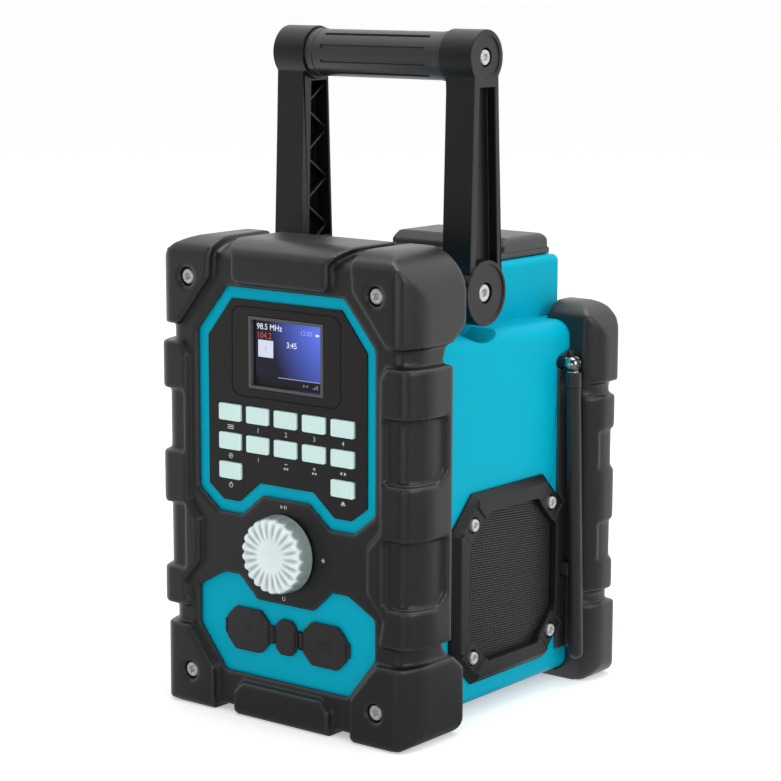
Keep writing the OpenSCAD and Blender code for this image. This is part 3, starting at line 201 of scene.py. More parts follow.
links.new(glow_strength.outputs[0], glow.inputs["Strength"])
links.new(matte.outputs[0], both.inputs[0])
links.new(glow.outputs[0], both.inputs[1])
links.new(floor_gloss, mirrored_floor.inputs["Strength"])
links.new(seen.outputs["Is Glossy Ray"], seen_or_mirrored.inputs["Fac"])
links.new(both.outputs[0], seen_or_mirrored.inputs[1])
links.new(mirrored_floor.outputs[0], seen_or_mirrored.inputs[2])
links.new(seen_or_mirrored.outputs[0], surface.inputs["Surface"])
floor.data.materials.append(floor_finish)

# ---------------------------------------------------------------- case
# The housing, the fascia and the rear cover: injection-moulded teal plastic with a fine even spark
# texture and softened edges. Screws from both ends hold them together.
teal = (0.001, 0.41, 0.57)
case_edge = 0.5 * MM
box_side = 47.5 * MM
scoop_radius = 27.5 * MM
scoop_rim = 3 * MM
bore_slack, floor_slack = 0.1 * MM, 0.2 * MM
merge_reach = 0.002 * MM
corner_angle = math.radians(35)
smooth_angle = math.radians(32)
rim_angle = math.radians(25)
mottle_scale = 45
sheen_spread = 0.07
grain_strength = 0.6
wear_and_highlight_between = (0.51, 0.60)
wear_and_highlight_share, wear_and_highlight_grey = 0.5, 0.12


def new_finish(name):
    """A new material, with its nodes, links and shader and its piece's Object coordinates."""
    finish = bpy.data.materials.new(name)
    finish.use_nodes = True
    nodes, links = finish.node_tree.nodes, finish.node_tree.links
    place = nodes.new("ShaderNodeTexCoord").outputs["Object"]
    return finish, nodes, links, nodes["Principled BSDF"], place


def noise(nodes, links, place, scale, detail=2):
    """Even noise over a piece."""
    clouds = nodes.new("ShaderNodeTexNoise")
    clouds.inputs["Scale"].default_value = scale
    clouds.inputs["Detail"].default_value = detail
    links.new(place, clouds.inputs["Vector"])
    return clouds.outputs["Fac"]


def mixed(nodes, links, share, one, other, blend="MIX"):
    """A mix of two colours: each of the three is a node's output or a plain value."""
    mix = nodes.new("ShaderNodeMix")
    mix.data_type = "RGBA"
    mix.blend_type = blend
    for socket, value in (("Factor", share), ("A", one), ("B", other)):
        if isinstance(value, bpy.types.NodeSocket):
            links.new(value, mix.inputs[socket])
        else:
            mix.inputs[socket].default_value = value
    return mix.outputs["Result"]


def raise_grain(nodes, links, shader, height, strength, depth):
    """Gives a shader a relief from a node's output, as deep as depth in metres."""
    relief = nodes.new("ShaderNodeBump")
    relief.inputs["Strength"].default_value = strength
    relief.inputs["Distance"].default_value = depth
    links.new(height, relief.inputs["Height"])
    links.new(relief.outputs["Normal"], shader.inputs["Normal"])


def moulded_finish(name, colour, roughness, grain, depth, specular=0.5, mottle=0.06, wear_and_highlight=0.0):
    """Moulded plastic or rubber: grain is the size of its surface texture and depth its height, in metres;
    mottle is how far its colour wanders, and the last argument how much paler its raised edges are, partly
    as real wear and partly as a painted highlight."""
    finish, nodes, links, shader, place = new_finish(name)
    shader.inputs["Specular IOR Level"].default_value = specular
    clouds = noise(nodes, links, place, mottle_scale, 3)
    darker = (*[c * (1 - mottle) for c in colour], 1)
    paler = (*[min(1, c * (1 + mottle)) for c in colour], 1)
    base = mixed(nodes, links, clouds, darker, paler)
    # raised edges are made paler, partly as real wear and partly as a painted highlight
    if wear_and_highlight:
        edges = nodes.new("ShaderNodeNewGeometry").outputs["Pointiness"]
        worn_and_highlit = (*[c * wear_and_highlight_share + wear_and_highlight_grey for c in colour], 1)
        base = mixed(nodes, links, mapped(nodes, links, edges, wear_and_highlight_between, (0, wear_and_highlight)), base, worn_and_highlit)
    links.new(base, shader.inputs["Base Color"])
    sheen = mapped(nodes, links, clouds, (0, 1), (roughness - sheen_spread, roughness + sheen_spread))
    links.new(sheen, shader.inputs["Roughness"])
    raise_grain(nodes, links, shader, noise(nodes, links, place, 1 / grain), grain_strength, depth)
    return finish


def pick(piece):
    """Makes a piece the only selected one."""
    bpy.ops.object.select_all(action="DESELECT")
    piece.select_set(True)
    bpy.context.view_layer.objects.active = piece


def open_mesh(piece):
    """Opens a piece's mesh for editing, with all of it selected."""
    pick(piece)
    bpy.ops.object.mode_set(mode="EDIT")
    bpy.ops.mesh.select_all(action="SELECT")


def close_mesh():
    """Closes the open mesh, with none of it selected."""
    bpy.ops.mesh.select_all(action="DESELECT")
    bpy.ops.object.mode_set(mode="OBJECT")


def work(piece, kind, **settings):
    """Works a modifier of a kind into the mesh of the picked piece."""
    change = piece.modifiers.new(kind.lower(), kind)
    for setting, value in settings.items():
        setattr(change, setting, value)
    bpy.ops.object.modifier_apply(modifier=change.name)


def copy_of(node, name):
    """A copy of a CAD node's mesh with its loose triangles merged into whole faces."""
    piece = bpy.data.objects.new(name, frame["nodes"][node].data.copy())
    bpy.context.scene.collection.objects.link(piece)
    open_mesh(piece)
    bpy.ops.mesh.remove_doubles(threshold=merge_reach)
    bpy.ops.mesh.customdata_custom_splitnormals_clear()
    close_mesh()
    return piece


def round_edges(piece, edge, steps=3):
    """Rounds a piece's corners with a bevel of that width."""
    pick(piece)
    work(piece, "BEVEL", width=edge, segments=steps, limit_method="ANGLE", angle_limit=corner_angle,
        use_clamp_overlap=False, miter_outer="MITER_ARC")
    bpy.ops.object.shade_smooth_by_angle(angle=smooth_angle)
    work(piece, "WEIGHTED_NORMAL", keep_sharp=True)


def round_rim(piece, centre_y, centre_z, radius, floor_x, width):
    """Rounds the sharp rim where a bore along X meets the faces round it, but not its floor."""
    pick(piece)
    mesh = piece.data
    rim = mesh.attributes.new("bevel_weight_edge", "FLOAT", "EDGE")
    faces_of = {}
    for face in mesh.polygons:
        for key in face.edge_keys:
            faces_of.setdefault(key, []).append(face)
    for edge in mesh.edges:
        ends = [mesh.vertices[i].co for i in edge.vertices]
        sides = faces_of.get(edge.key, [])
        from_bore = [abs(math.hypot(p.y - centre_y, p.z - centre_z) - radius) for p in ends]
        on_bore = all(gap < bore_slack for gap in from_bore)
        off_floor = all(abs(p.x) > floor_x + floor_slack for p in ends)
        if on_bore and off_floor and len(sides) == 2:
            if sides[0].normal.angle(sides[1].normal, 0) > rim_angle:
                rim.data[edge.index].value = 1
    work(piece, "BEVEL", width=width, segments=5, limit_method="WEIGHT", use_clamp_overlap=True)


def dress(piece, finish, slot, body, *nodes):
    """Gives a piece its finish, the body it moves with and the CAD nodes it stands for; slot is not used."""
    piece.data.materials.clear()
    piece.data.materials.append(finish)
    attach(piece, body)
    if nodes:
        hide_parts(*nodes)


def finish_node(node, finish):
    """A CAD node that keeps its own mesh takes a finish."""
    shown = frame["nodes"][node]
    if not shown.material_slots:
        shown.data.materials.append(finish)
    for coat in shown.material_slots:
        coat.link = "OBJECT"
        coat.material = finish


case_finish = moulded_finish("case_teal", teal, 0.42, 0.5 * MM, 0.02 * MM, specular=0.05, mottle=0.04)
pivot_low, pivot_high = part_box("pivot_screws")
pivot_y, pivot_z = (pivot_low.y + pivot_high.y) / 2, (pivot_low.z + pivot_high.z) / 2
for node in ("main_housing", "rear_cover"):
    piece = copy_of(node, node + "_moulding")
    if node == "main_housing":
        round_rim(piece, pivot_y, pivot_z, scoop_radius, box_side, scoop_rim)
    round_edges(piece, case_edge)
    dress(piece, case_finish, "case_plastic", "chassis", node)
finish_node("front_fascia", case_finish)

# ---------------------------------------------------------------- guards
# Thick bumpers of dark grey rubber, moulded in one piece each and screwed on over the case's two ends.
# Every edge is soft, the faces have a dull skin, and the corners are paler, partly from wear and partly as a
# painted highlight.
rubber_grey = (0.0115, 0.0115, 0.0117)
guard_voxel = 1.15 * MM
rubber_finish = moulded_finish("guard_rubber", rubber_grey, 0.38, 0.35 * MM, 0.03 * MM, specular=0.62,
    mottle=0.12, wear_and_highlight=0.4)
for node in ("front_guard", "rear_guard"):
    piece = copy_of(node, node + "_moulding")
    work(piece, "REMESH", mode="VOXEL", voxel_size=guard_voxel)
    work(piece, "SMOOTH", factor=0.5, iterations=5)
    bpy.ops.object.shade_smooth()
    dress(piece, rubber_finish, "guard_rubber", "chassis", node)

# ---------------------------------------------------------------- control panel
# A satin black plate in the fascia's upper window, and the recessed grey frame round the display.
# Both are moulded plastic with narrow, crisp edges.
panel_black = (0.0155, 0.015, 0.0152)
frame_grey = (0.09, 0.088, 0.088)
panel_edge = 0.35 * MM
frame_edge = 0.3 * MM
panel_finish = moulded_finish("panel_black", panel_black, 0.38, 0.4 * MM, 0.012 * MM, specular=0.35)
piece = copy_of("control_panel", "control_panel_moulding")
round_edges(piece, panel_edge, steps=2)
dress(piece, panel_finish, "panel_plastic", "chassis", "control_panel")
frame_finish = moulded_finish("frame_grey", frame_grey, 0.35, 0.4 * MM, 0.01 * MM)
piece = copy_of("display_frame", "display_frame_moulding")
round_edges(piece, frame_edge, steps=2)
dress(piece, frame_finish, "panel_plastic", "chassis", "display_frame")

# ---------------------------------------------------------------- display
# A colour screen under clear glass: a blue picture that brightens to the upper right, with generic
# read-outs, a station square and a dark foot bar, all lit from behind. The glass sits in the frame.
glass_low, glass_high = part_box("display_lens")
glass_w, glass_h = glass_high.x - glass_low.x, glass_high.z - glass_low.z
glass_edge = 0.25 * MM
screen_y = glass_low.y - 0.02 * MM
print_depth = 0.03 * MM
pixel_scale = 6000
darkest_blue, darkest_at = (0.003, 0.003, 0.012, 1), 0.22
brightest_blue, brightest_at = (0.10, 0.16, 0.74, 1), 0.95
lowest_share = 0.45
glass_roughness, screen_glow = 0.12, 0.5
unlit_share, dimmest_share = 0.3, 0.85

screen_finish, nodes, links, shader, place = new_finish("screen_blue")
shader.inputs["Roughness"].default_value = glass_roughness
shader.inputs["Emission Strength"].default_value = screen_glow
axes = nodes.new("ShaderNodeSeparateXYZ")
brighter = nodes.new("ShaderNodeMath")
brighter.operation = "MULTIPLY"
blues = nodes.new("ShaderNodeValToRGB")
blues.color_ramp.elements[0].color = darkest_blue
blues.color_ramp.elements[0].position = darkest_at
blues.color_ramp.elements[1].color = brightest_blue
blues.color_ramp.elements[1].position = brightest_at
links.new(place, axes.inputs["Vector"])
rightwards = mapped(nodes, links, axes.outputs["X"], (glass_low.x, glass_high.x))
upwards = mapped(nodes, links, axes.outputs["Z"], (glass_low.z, glass_high.z), (lowest_share, 1))
links.new(rightwards, brighter.inputs[0])
links.new(upwards, brighter.inputs[1])
links.new(brighter.outputs[0], blues.inputs["Fac"])
links.new(blues.outputs["Color"], shader.inputs["Emission Color"])
links.new(blues.outputs["Color"], shader.inputs["Base Color"])
piece = copy_of("display_lens", "display_glass")
round_edges(piece, glass_edge, steps=2)
dress(piece, screen_finish, "display_glass", "chassis", "display_lens")


def lit_finish(name, colour, strength):
    """A part of a lit picture: its glow flickers a little from pixel to pixel."""
    finish, nodes, links, shader, place = new_finish(name)
    shader.inputs["Base Color"].default_value = (*[c * unlit_share for c in colour], 1)
    shader.inputs["Emission Color"].default_value = (*colour, 1)
    pixels = noise(nodes, links, place, pixel_scale)
    glow = mapped(nodes, links, pixels, (0, 1), (strength * dimmest_share, strength))
    links.new(glow, shader.inputs["Emission Strength"])
    return finish


def upright_text(body, x, y, z, size, align="CENTER"):
    """Thin printed text that stands upright and faces the front."""
    bpy.ops.object.select_all(action="DESELECT")
    bpy.ops.object.text_add(location=(x, y, z), rotation=(math.pi / 2, 0, 0))
    text = bpy.context.object
    text.data.body = body
    text.data.size = size
    text.data.align_x = align
    text.data.align_y = "CENTER"
    text.data.extrude = print_depth / 2
    text.data.resolution_u = 3
    bpy.ops.object.convert(target="MESH")
    return bpy.context.object


def upright_mark(sides, x, y, z, radius, turn=0.0):
    """A thin regular polygon that stands upright; a triangle without a turn points up."""
    bpy.ops.object.select_all(action="DESELECT")
    bpy.ops.mesh.primitive_cylinder_add(vertices=sides, radius=radius, depth=print_depth,
        location=(x, y, z), rotation=(math.pi / 2, turn, 0))
    return bpy.context.object


def upright_bar(x, y, z, width, height):
    """A thin upright rectangle."""
    bpy.ops.object.select_all(action="DESELECT")
    bpy.ops.mesh.primitive_cube_add(size=1, location=(x, y, z), scale=(width, print_depth, height))
    return bpy.context.object


def upright_ring(x, y, z, radius, line):
    """A thin upright ring."""
    bpy.ops.object.select_all(action="DESELECT")
    bpy.ops.mesh.primitive_torus_add(major_radius=radius, minor_radius=line / 2, major_segments=24,
        minor_segments=6, location=(x, y, z), rotation=(math.pi / 2, 0, 0))
    return bpy.context.object


def joined(name, parts):
    """Joins parts into one piece whose place, turn and scale are applied."""
    bpy.ops.object.select_all(action="DESELECT")
    for part in parts:
        part.select_set(True)
    bpy.context.view_layer.objects.active = parts[0]
    bpy.ops.object.transform_apply(location=True, rotation=True, scale=True)
    if len(parts) > 1:
        bpy.ops.object.join()
    piece = bpy.context.object
    bpy.context.scene.cursor.location = (0, 0, 0)
    bpy.ops.object.origin_set(type="ORIGIN_CURSOR")
    piece.name = name
    return piece


def light_up(name, finish, colour, strength, parts):
    """Makes parts of the picture one lit piece on the glass."""
    dress(joined(name, parts), lit_finish(finish, colour, strength), "display_glass", "chassis")


def screen_x(share):
    return glass_low.x + share * glass_w


def screen_z(share):
    return glass_high.z - share * glass_h


foot_bar = upright_bar(screen_x(0.5), screen_y, screen_z(0.92), glass_w * 0.97, glass_h * 0.14)
light_up("screen_foot_bar", "screen_dark", (0.004, 0.004, 0.01), 0.5, [foot_bar])
foot_line = upright_bar(screen_x(0.66), screen_y, screen_z(0.845), glass_w * 0.60, 0.45 * MM)
light_up("screen_foot_line", "screen_lilac", (0.30, 0.30, 0.60), 0.9, [foot_line])
station_square = upright_bar(screen_x(0.18), screen_y, screen_z(0.43), glass_w * 0.22, glass_h * 0.26)
light_up("screen_station", "screen_pale", (0.62, 0.66, 0.80), 0.9, [station_square])
white_prints = [
    upright_text("98.5 MHz", screen_x(0.05), screen_y, screen_z(0.10), 4.6 * MM, "LEFT"),
    upright_text("3:45", screen_x(0.48), screen_y, screen_z(0.34), 4.4 * MM, "LEFT"),
    upright_bar(screen_x(0.925), screen_y, screen_z(0.14), 2.4 * MM, 1.1 * MM),
    upright_mark(3, screen_x(0.73), screen_y, screen_z(0.92), 1.0 * MM, math.pi / 2),
    upright_mark(3, screen_x(0.78), screen_y, screen_z(0.92), 1.0 * MM, -math.pi / 2),
]
for i in range(4):
    tall = (0.7 + 0.6 * i) * MM
    bar_x, bar_z = screen_x(0.86 + 0.022 * i), screen_z(0.955) + tall / 2
    white_prints.append(upright_bar(bar_x, screen_y, bar_z, 0.6 * MM, tall))
light_up("screen_white_print", "screen_white", (0.75, 0.78, 0.9), 1.0, white_prints)
red_print = upright_text("104.2", screen_x(0.05), screen_y, screen_z(0.235), 4.8 * MM, "LEFT")
light_up("screen_red_print", "screen_red", (0.55, 0.09, 0.06), 0.7, [red_print])
light_up("screen_blue_print", "screen_grey_blue", (0.30, 0.36, 0.80), 0.9, [
    upright_text("12:00", screen_x(0.68), screen_y, screen_z(0.13), 3.8 * MM, "LEFT"),
    upright_text("1", screen_x(0.18), screen_y - 0.02 * MM, screen_z(0.43), 4.6 * MM),
])

# ---------------------------------------------------------------- buttons
# Twelve keys of pearly pale green plastic, each moulded with a soft-edged cap in front and a wider foot
# behind the panel, which keeps it in its opening. A light print below each says what it does.
pearl_green = (0.68, 0.90, 0.87)
print_grey = (0.62, 0.62, 0.61)
button_edge = 1.0 * MM
print_drop = 2.7 * MM
digit_size = 3.8 * MM
icon_line = 0.45 * MM
ring_radius, ring_line = 1.25 * MM, 0.42 * MM
button_names = ("preset", "memory_1", "memory_2", "memory_3", "memory_4", "mode", "info", "tune_down",
                "tune_up", "scan", "power", "alarm")
button_finish = moulded_finish("button_pearl", pearl_green, 0.26, 0.4 * MM, 0.008 * MM, mottle=0.03)
print_finish = moulded_finish("print_grey", print_grey, 0.5, 0.3 * MM, 0.005 * MM)
print_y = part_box("control_panel")[0].y - 0.01 * MM
prints = []
for button in button_names:
    piece = copy_of("button_" + button, "button_cap_" + button)
    round_edges(piece, button_edge, steps=4)
    dress(piece, button_finish, "button_plastic", "key_" + button, "button_" + button)
    low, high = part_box("button_" + button)
    x, z = (low.x + high.x) / 2, low.z - print_drop
    if button.startswith("memory_"):
        prints.append(upright_text(button[-1], x, print_y, z, digit_size))
    elif button == "preset":
        prints += [upright_bar(x, print_y, z + i * 0.95 * MM, 4.4 * MM, icon_line) for i in (-1, 0, 1)]
    elif button == "mode":
        prints.append(upright_ring(x, print_y, z, ring_radius, ring_line))
        prints.append(upright_mark(12, x, print_y, z, 0.5 * MM))
    elif button == "info":
        prints.append(upright_text("i", x, print_y, z, digit_size))
    elif button in ("tune_down", "tune_up"):
        turn = -math.pi / 2 if button == "tune_down" else math.pi / 2
        prints.append(upright_bar(x, print_y, z, 1.9 * MM, icon_line))
        if button == "tune_up":
            prints.append(upright_bar(x, print_y, z, icon_line, 1.9 * MM))
        for i in (-1, 1):
            prints.append(upright_mark(3, x + i * 0.95 * MM, print_y, z - 2.5 * MM, 0.95 * MM, turn))
    elif button == "scan":
        for i in (-1, 1):
            prints.append(upright_mark(3, x + i * 1.2 * MM, print_y, z, 1.15 * MM, i * math.pi / 2))
    elif button == "power":
        prints.append(upright_ring(x, print_y, z, ring_radius, ring_line))
        prints.append(upright_bar(x, print_y, z + 1.1 * MM, icon_line, 1.6 * MM))
    else:
        prints.append(upright_mark(16, x, print_y, z + 0.2 * MM, 1.1 * MM))
        prints.append(upright_bar(x, print_y, z - 0.6 * MM, 3.2 * MM, 0.6 * MM))
dress(joined("panel_print", prints), print_finish, "panel_plastic", "chassis")

# ---------------------------------------------------------------- volume knob
# A pearl silver plastic knob on the encoder's shaft, moulded with 22 grooves that run over its rim to a
# smooth dish in the middle. Its skirt is painted greyer and its grooves darker, both as painted shade, and
# light prints stand round it on the guard.
knob_low, knob_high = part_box("volume_knob")
knob_z = (knob_low.z + knob_high.z) / 2
knob_back = knob_high.y
knob_axis = (0, knob_back, knob_z)
pearl_silver = (0.80, 0.90, 0.90)
skirt_painted_shade = (0.25, 0.31, 0.30, 1)
skirt_shade_between = (19.9 * MM, 20.8 * MM)
groove_shade_reach = 2.5 * MM
groove_shade_between, groove_shade_levels = (0.55, 0.95), (0.45, 1)
knob_smooth_angle = math.radians(40)
flutes = 22
per_flute = 6
# how much of a groove's depth the points in its middle and beside its middle take
groove_shares = ((0, 1.0), (1, 0.55))
# radius and distance from the back of each ring of the knob's skin, and how deep its grooves go in and
# back there, all in millimetres
knob_rings = (
    (21.7, 0.0, 0.0, 0.0), (21.7, 0.9, 0.0, 0.0), (21.6, 1.2, 0.15, 0.0), (21.5, 3.3, 0.35, 0.0),
    (21.3, 6.8, 0.8, 0.0), (21.0, 8.6, 1.3, 0.2), (20.3, 9.9, 1.5, 0.8), (18.6, 10.95, 0.6, 2.1),
    (14.5, 10.9, 0.0, 1.7), (11.0, 10.7, 0.0, 1.1), (8.8, 10.5, 0.0, 0.4), (8.0, 9.9, 0.0, 0.0),
    (4.0, 8.8, 0.0, 0.0),
)
dish_rise = 0.15 * MM

knob_finish = moulded_finish("knob_pearl", pearl_silver, 0.22, 0.4 * MM, 0.008 * MM, mottle=0.03)
nodes, links = knob_finish.node_tree.nodes, knob_finish.node_tree.links
shader = nodes["Principled BSDF"]
pearl = shader.inputs["Base Color"].links[0].from_socket
place = nodes.new("ShaderNodeTexCoord")
from_axis = nodes.new("ShaderNodeVectorMath")
from_axis.operation = "SUBTRACT"
from_axis.inputs[1].default_value = (0, 0, knob_z)
flattened = nodes.new("ShaderNodeVectorMath")
flattened.operation = "MULTIPLY"
flattened.inputs[1].default_value = (1, 0, 1)
reach = nodes.new("ShaderNodeVectorMath")
reach.operation = "LENGTH"
groove_shade = nodes.new("ShaderNodeAmbientOcclusion")
groove_shade.inputs["Distance"].default_value = groove_shade_reach
links.new(place.outputs["Object"], from_axis.inputs[0])
links.new(from_axis.outputs["Vector"], flattened.inputs[0])
links.new(flattened.outputs["Vector"], reach.inputs[0])
# painted shade: the skirt is greyed by its distance from the axis, and the grooves are darkened by ambient
# occlusion
skirt_shade_share = mapped(nodes, links, reach.outputs["Value"], skirt_shade_between)
with_skirt_shade = mixed(nodes, links, skirt_shade_share, pearl, skirt_painted_shade)
shade = mapped(nodes, links, groove_shade.outputs["AO"], groove_shade_between, groove_shade_levels)
shaded = mixed(nodes, links, 1, with_skirt_shade, shade, "MULTIPLY")
links.new(shaded, shader.inputs["Base Color"])

bpy.ops.object.select_all(action="DESELECT")
bpy.ops.mesh.primitive_circle_add(vertices=flutes * per_flute, radius=knob_rings[0][0] * MM,
    location=knob_axis, rotation=(math.pi / 2, 0, 0))
piece = bpy.context.object
bpy.ops.object.transform_apply(location=True, rotation=True, scale=True)
open_mesh(piece)
for before, ring in zip(knob_rings, knob_rings[1:]):
    bpy.ops.mesh.extrude_region_move(TRANSFORM_OT_translate={"value": (0, (before[1] - ring[1]) * MM, 0)})
    shrink = ring[0] / before[0]
    bpy.ops.transform.resize(value=(shrink, 1, shrink), center_override=knob_axis)
bpy.ops.mesh.extrude_region_move(TRANSFORM_OT_translate={"value": (0, dish_rise, 0)})
bpy.ops.mesh.merge(type="CENTER")
bpy.ops.mesh.select_all(action="SELECT")
bpy.ops.mesh.normals_make_consistent(inside=False)
close_mesh()
for radius, along, inwards, backwards in knob_rings:
    if inwards == 0 and backwards == 0:
        continue
    for step, share in groove_shares:
        for vertex in piece.data.vertices:
            p = vertex.co
            spot = math.atan2(p.z - knob_z, p.x) / (2 * math.pi) * flutes * per_flute
            index = round(spot) % per_flute
            on_ring = abs(p.y - (knob_back - along * MM)) < 0.01 * MM
            on_ring = on_ring and abs(math.hypot(p.x, p.z - knob_z) - radius * MM) < 0.02 * MM
            vertex.select = on_ring and min(index, per_flute - index) == step
        bpy.ops.object.mode_set(mode="EDIT")
        shrink = 1 - share * inwards / radius
        bpy.ops.transform.translate(value=(0, share * backwards * MM, 0))
        bpy.ops.transform.resize(value=(shrink, 1, shrink), center_override=knob_axis)
        close_mesh()
pick(piece)
work(piece, "SUBSURF", levels=1, render_levels=1)
bpy.ops.object.shade_smooth_by_angle(angle=knob_smooth_angle)
piece.name = "volume_knob_moulding"
dress(piece, knob_finish, "knob_plastic", "knob", "volume_knob")

# play and pause above the knob, less and more at its sides and a ring below it, all in front of the
# guard's inner frame, which lies behind its corner blocks
frame_behind, print_proud = 4.5 * MM, 0.12 * MM
guard_print_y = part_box("front_guard")[0].y + frame_behind - print_proud
mark_high, mark_wide = 25.6 * MM, 28.0 * MM
mark_line, mark_long = 0.5 * MM, 2.6 * MM
marks = [
    upright_mark(3, -1.4 * MM, guard_print_y, knob_z + mark_high, 1.2 * MM, math.pi / 2),
    upright_bar(0.8 * MM, guard_print_y, knob_z + mark_high, mark_line, 2.0 * MM),
    upright_bar(2.0 * MM, guard_print_y, knob_z + mark_high, mark_line, 2.0 * MM),
    upright_bar(-mark_wide, guard_print_y, knob_z, mark_long, mark_line),
    upright_bar(mark_wide, guard_print_y, knob_z, mark_long, mark_line),
    upright_bar(mark_wide, guard_print_y, knob_z, mark_line, mark_long),
    upright_ring(0, guard_print_y, knob_z - mark_high, 1.0 * MM, 0.3 * MM),
]
dress(joined("guard_print", marks), print_finish, "guard_rubber", "chassis")

# ---------------------------------------------------------------- ports
# Two lobed covers moulded in soft rubber, joined by a narrow strap that is fixed to the case. A low ring
# and a low slot on them show the sockets behind.
flap_grey = (0.024, 0.023, 0.023)
flap_edge = 0.9 * MM
cover_x = 27.4 * MM
slot_thicker = 12
flap_finish = moulded_finish("flap_rubber", flap_grey, 0.42, 0.35 * MM, 0.03 * MM, mottle=0.1)
for node, body in (("port_strap", "chassis"), ("usb_flap", "usb_cover"), ("aux_flap", "aux_cover")):
    piece = copy_of(node, node + "_moulding")
    round_edges(piece, flap_edge, steps=4)
    dress(piece, flap_finish, "guard_rubber", body, node)
low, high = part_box("aux_flap")
cover_z = (low.z + high.z) / 2
rings = [upright_ring(-cover_x, low.y, cover_z, radius, 0.5 * MM) for radius in (3.0 * MM, 1.1 * MM)]
piece = joined("aux_flap_icon", rings)
bpy.ops.object.shade_smooth()
dress(piece, flap_finish, "guard_rubber", "aux_cover")
low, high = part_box("usb_flap")
slot = [upright_bar(cover_x, low.y, cover_z + k * 1.9 * MM, 8.4 * MM, icon_line) for k in (-1, 1)]
slot += [upright_bar(cover_x + k * 4.0 * MM, low.y, cover_z, icon_line, 4.2 * MM) for k in (-1, 1)]
slot.append(upright_bar(cover_x, low.y, cover_z + 0.5 * MM, 5.6 * MM, 0.9 * MM))
piece = joined("usb_flap_icon", slot)
open_mesh(piece)
bpy.ops.transform.resize(value=(1, slot_thicker, 1), center_override=(0, low.y, 0))
close_mesh()
dress(piece, flap_finish, "guard_rubber", "usb_cover")

# ---------------------------------------------------------------- speakers
# Octagonal rings of moulded rubber, each held to the side of the case by four screws. A grille of woven
# black wire over a black dust cloth fills each opening.
ring_grey = (0.010, 0.010, 0.0102)
wire_black = (0.045, 0.045, 0.046)
cloth_black = (0.008, 0.008, 0.0085)
ring_edge = 0.8 * MM
corner_cut = 19.7 * MM
weave_pitch = 1.4 * MM
weave_wire = 0.26 * MM
weave_turn = math.radians(5)
weave_spare = 1.2
wire_depth = 0.35 * MM
cloth_behind = 0.45 * MM
ring_finish = moulded_finish("ring_rubber", ring_grey, 0.45, 0.35 * MM, 0.03 * MM, specular=0.4, mottle=0.1)
mesh_finish = moulded_finish("grille_black", wire_black, 0.35, 0.5 * MM, 0.02 * MM, specular=0.7)
cloth_finish = moulded_finish("dust_cloth", cloth_black, 0.8, 0.3 * MM, 0.05 * MM, specular=0.2)
for side, away in (("left", -1), ("right", 1)):
    piece = copy_of("speaker_ring_" + side, "speaker_ring_moulding_" + side)
    round_edges(piece, ring_edge)
    dress(piece, ring_finish, "guard_rubber", "chassis", "speaker_ring_" + side)
    low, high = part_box("speaker_mesh_" + side)
    middle = (low + high) / 2
    across, tall = high.y - low.y, high.z - low.z
    cells = math.ceil(weave_spare * across / weave_pitch)
    bpy.ops.object.select_all(action="DESELECT")
    bpy.ops.mesh.primitive_grid_add(x_subdivisions=cells, y_subdivisions=cells, size=cells * weave_pitch,
        location=(middle.x, middle.y, middle.z), rotation=(0, math.pi / 2, 0))
    piece = bpy.context.object
    bpy.ops.object.transform_apply(location=True, rotation=True, scale=True)
    open_mesh(piece)
    bpy.ops.transform.rotate(value=weave_turn, orient_axis="X", center_override=tuple(middle))
    corner = (across / 2 + tall / 2 - corner_cut) / math.sqrt(2)
    for turn in range(8):
        reach = across / 2 if turn % 2 == 0 else corner
        outwards = Vector((0, math.cos(turn * math.pi / 4), math.sin(turn * math.pi / 4)))
        bpy.ops.mesh.select_all(action="SELECT")
        bpy.ops.mesh.bisect(plane_co=tuple(middle + outwards * reach), plane_no=tuple(outwards),
            clear_outer=True)
    close_mesh()
    pick(piece)
    bpy.ops.object.duplicate()
    cloth = bpy.context.object
    open_mesh(cloth)
    bpy.ops.transform.translate(value=(away * -cloth_behind, 0, 0))
    close_mesh()
    cloth.name = "speaker_cloth_" + side
    dress(cloth, cloth_finish, "grille_metal", "chassis")
    open_mesh(piece)
    bpy.ops.mesh.inset(thickness=weave_wire / 2, use_individual=True, use_boundary=True)
    bpy.ops.mesh.delete(type="FACE")
    close_mesh()
    work(piece, "SOLIDIFY", thickness=wire_depth, offset=0)
    piece.name = "speaker_weave_" + side
    dress(piece, mesh_finish, "grille_metal", "chassis", "speaker_mesh_" + side)

# ---------------------------------------------------------------- handle
# Two hollow arms of stiff black plastic with a ribbed pocket inside, and a grooved rubber grip on a tube
# between their caps. Screws hold the arms to the tube's ends and to the pivots.
arm_black = (0.0055, 0.0055, 0.0057)
grip_grey = (0.024, 0.024, 0.0245)
arm_edge = 0.45 * MM
grip_edge = 0.25 * MM
handle_finish = moulded_finish("handle_black", arm_black, 0.36, 0.4 * MM, 0.015 * MM)
for node in ("handle_arm_left", "handle_arm_right"):
    piece = copy_of(node, node + "_moulding")
    round_edges(piece, arm_edge)
    dress(piece, handle_finish, "black_plastic", "handle", node)
grip_finish = moulded_finish("grip_rubber", grip_grey, 0.34, 0.35 * MM, 0.03 * MM, specular=0.75, mottle=0.1)
piece = copy_of("handle_grip", "handle_grip_moulding")
round_edges(piece, grip_edge, steps=2)
dress(piece, grip_finish, "guard_rubber", "handle", "handle_grip")

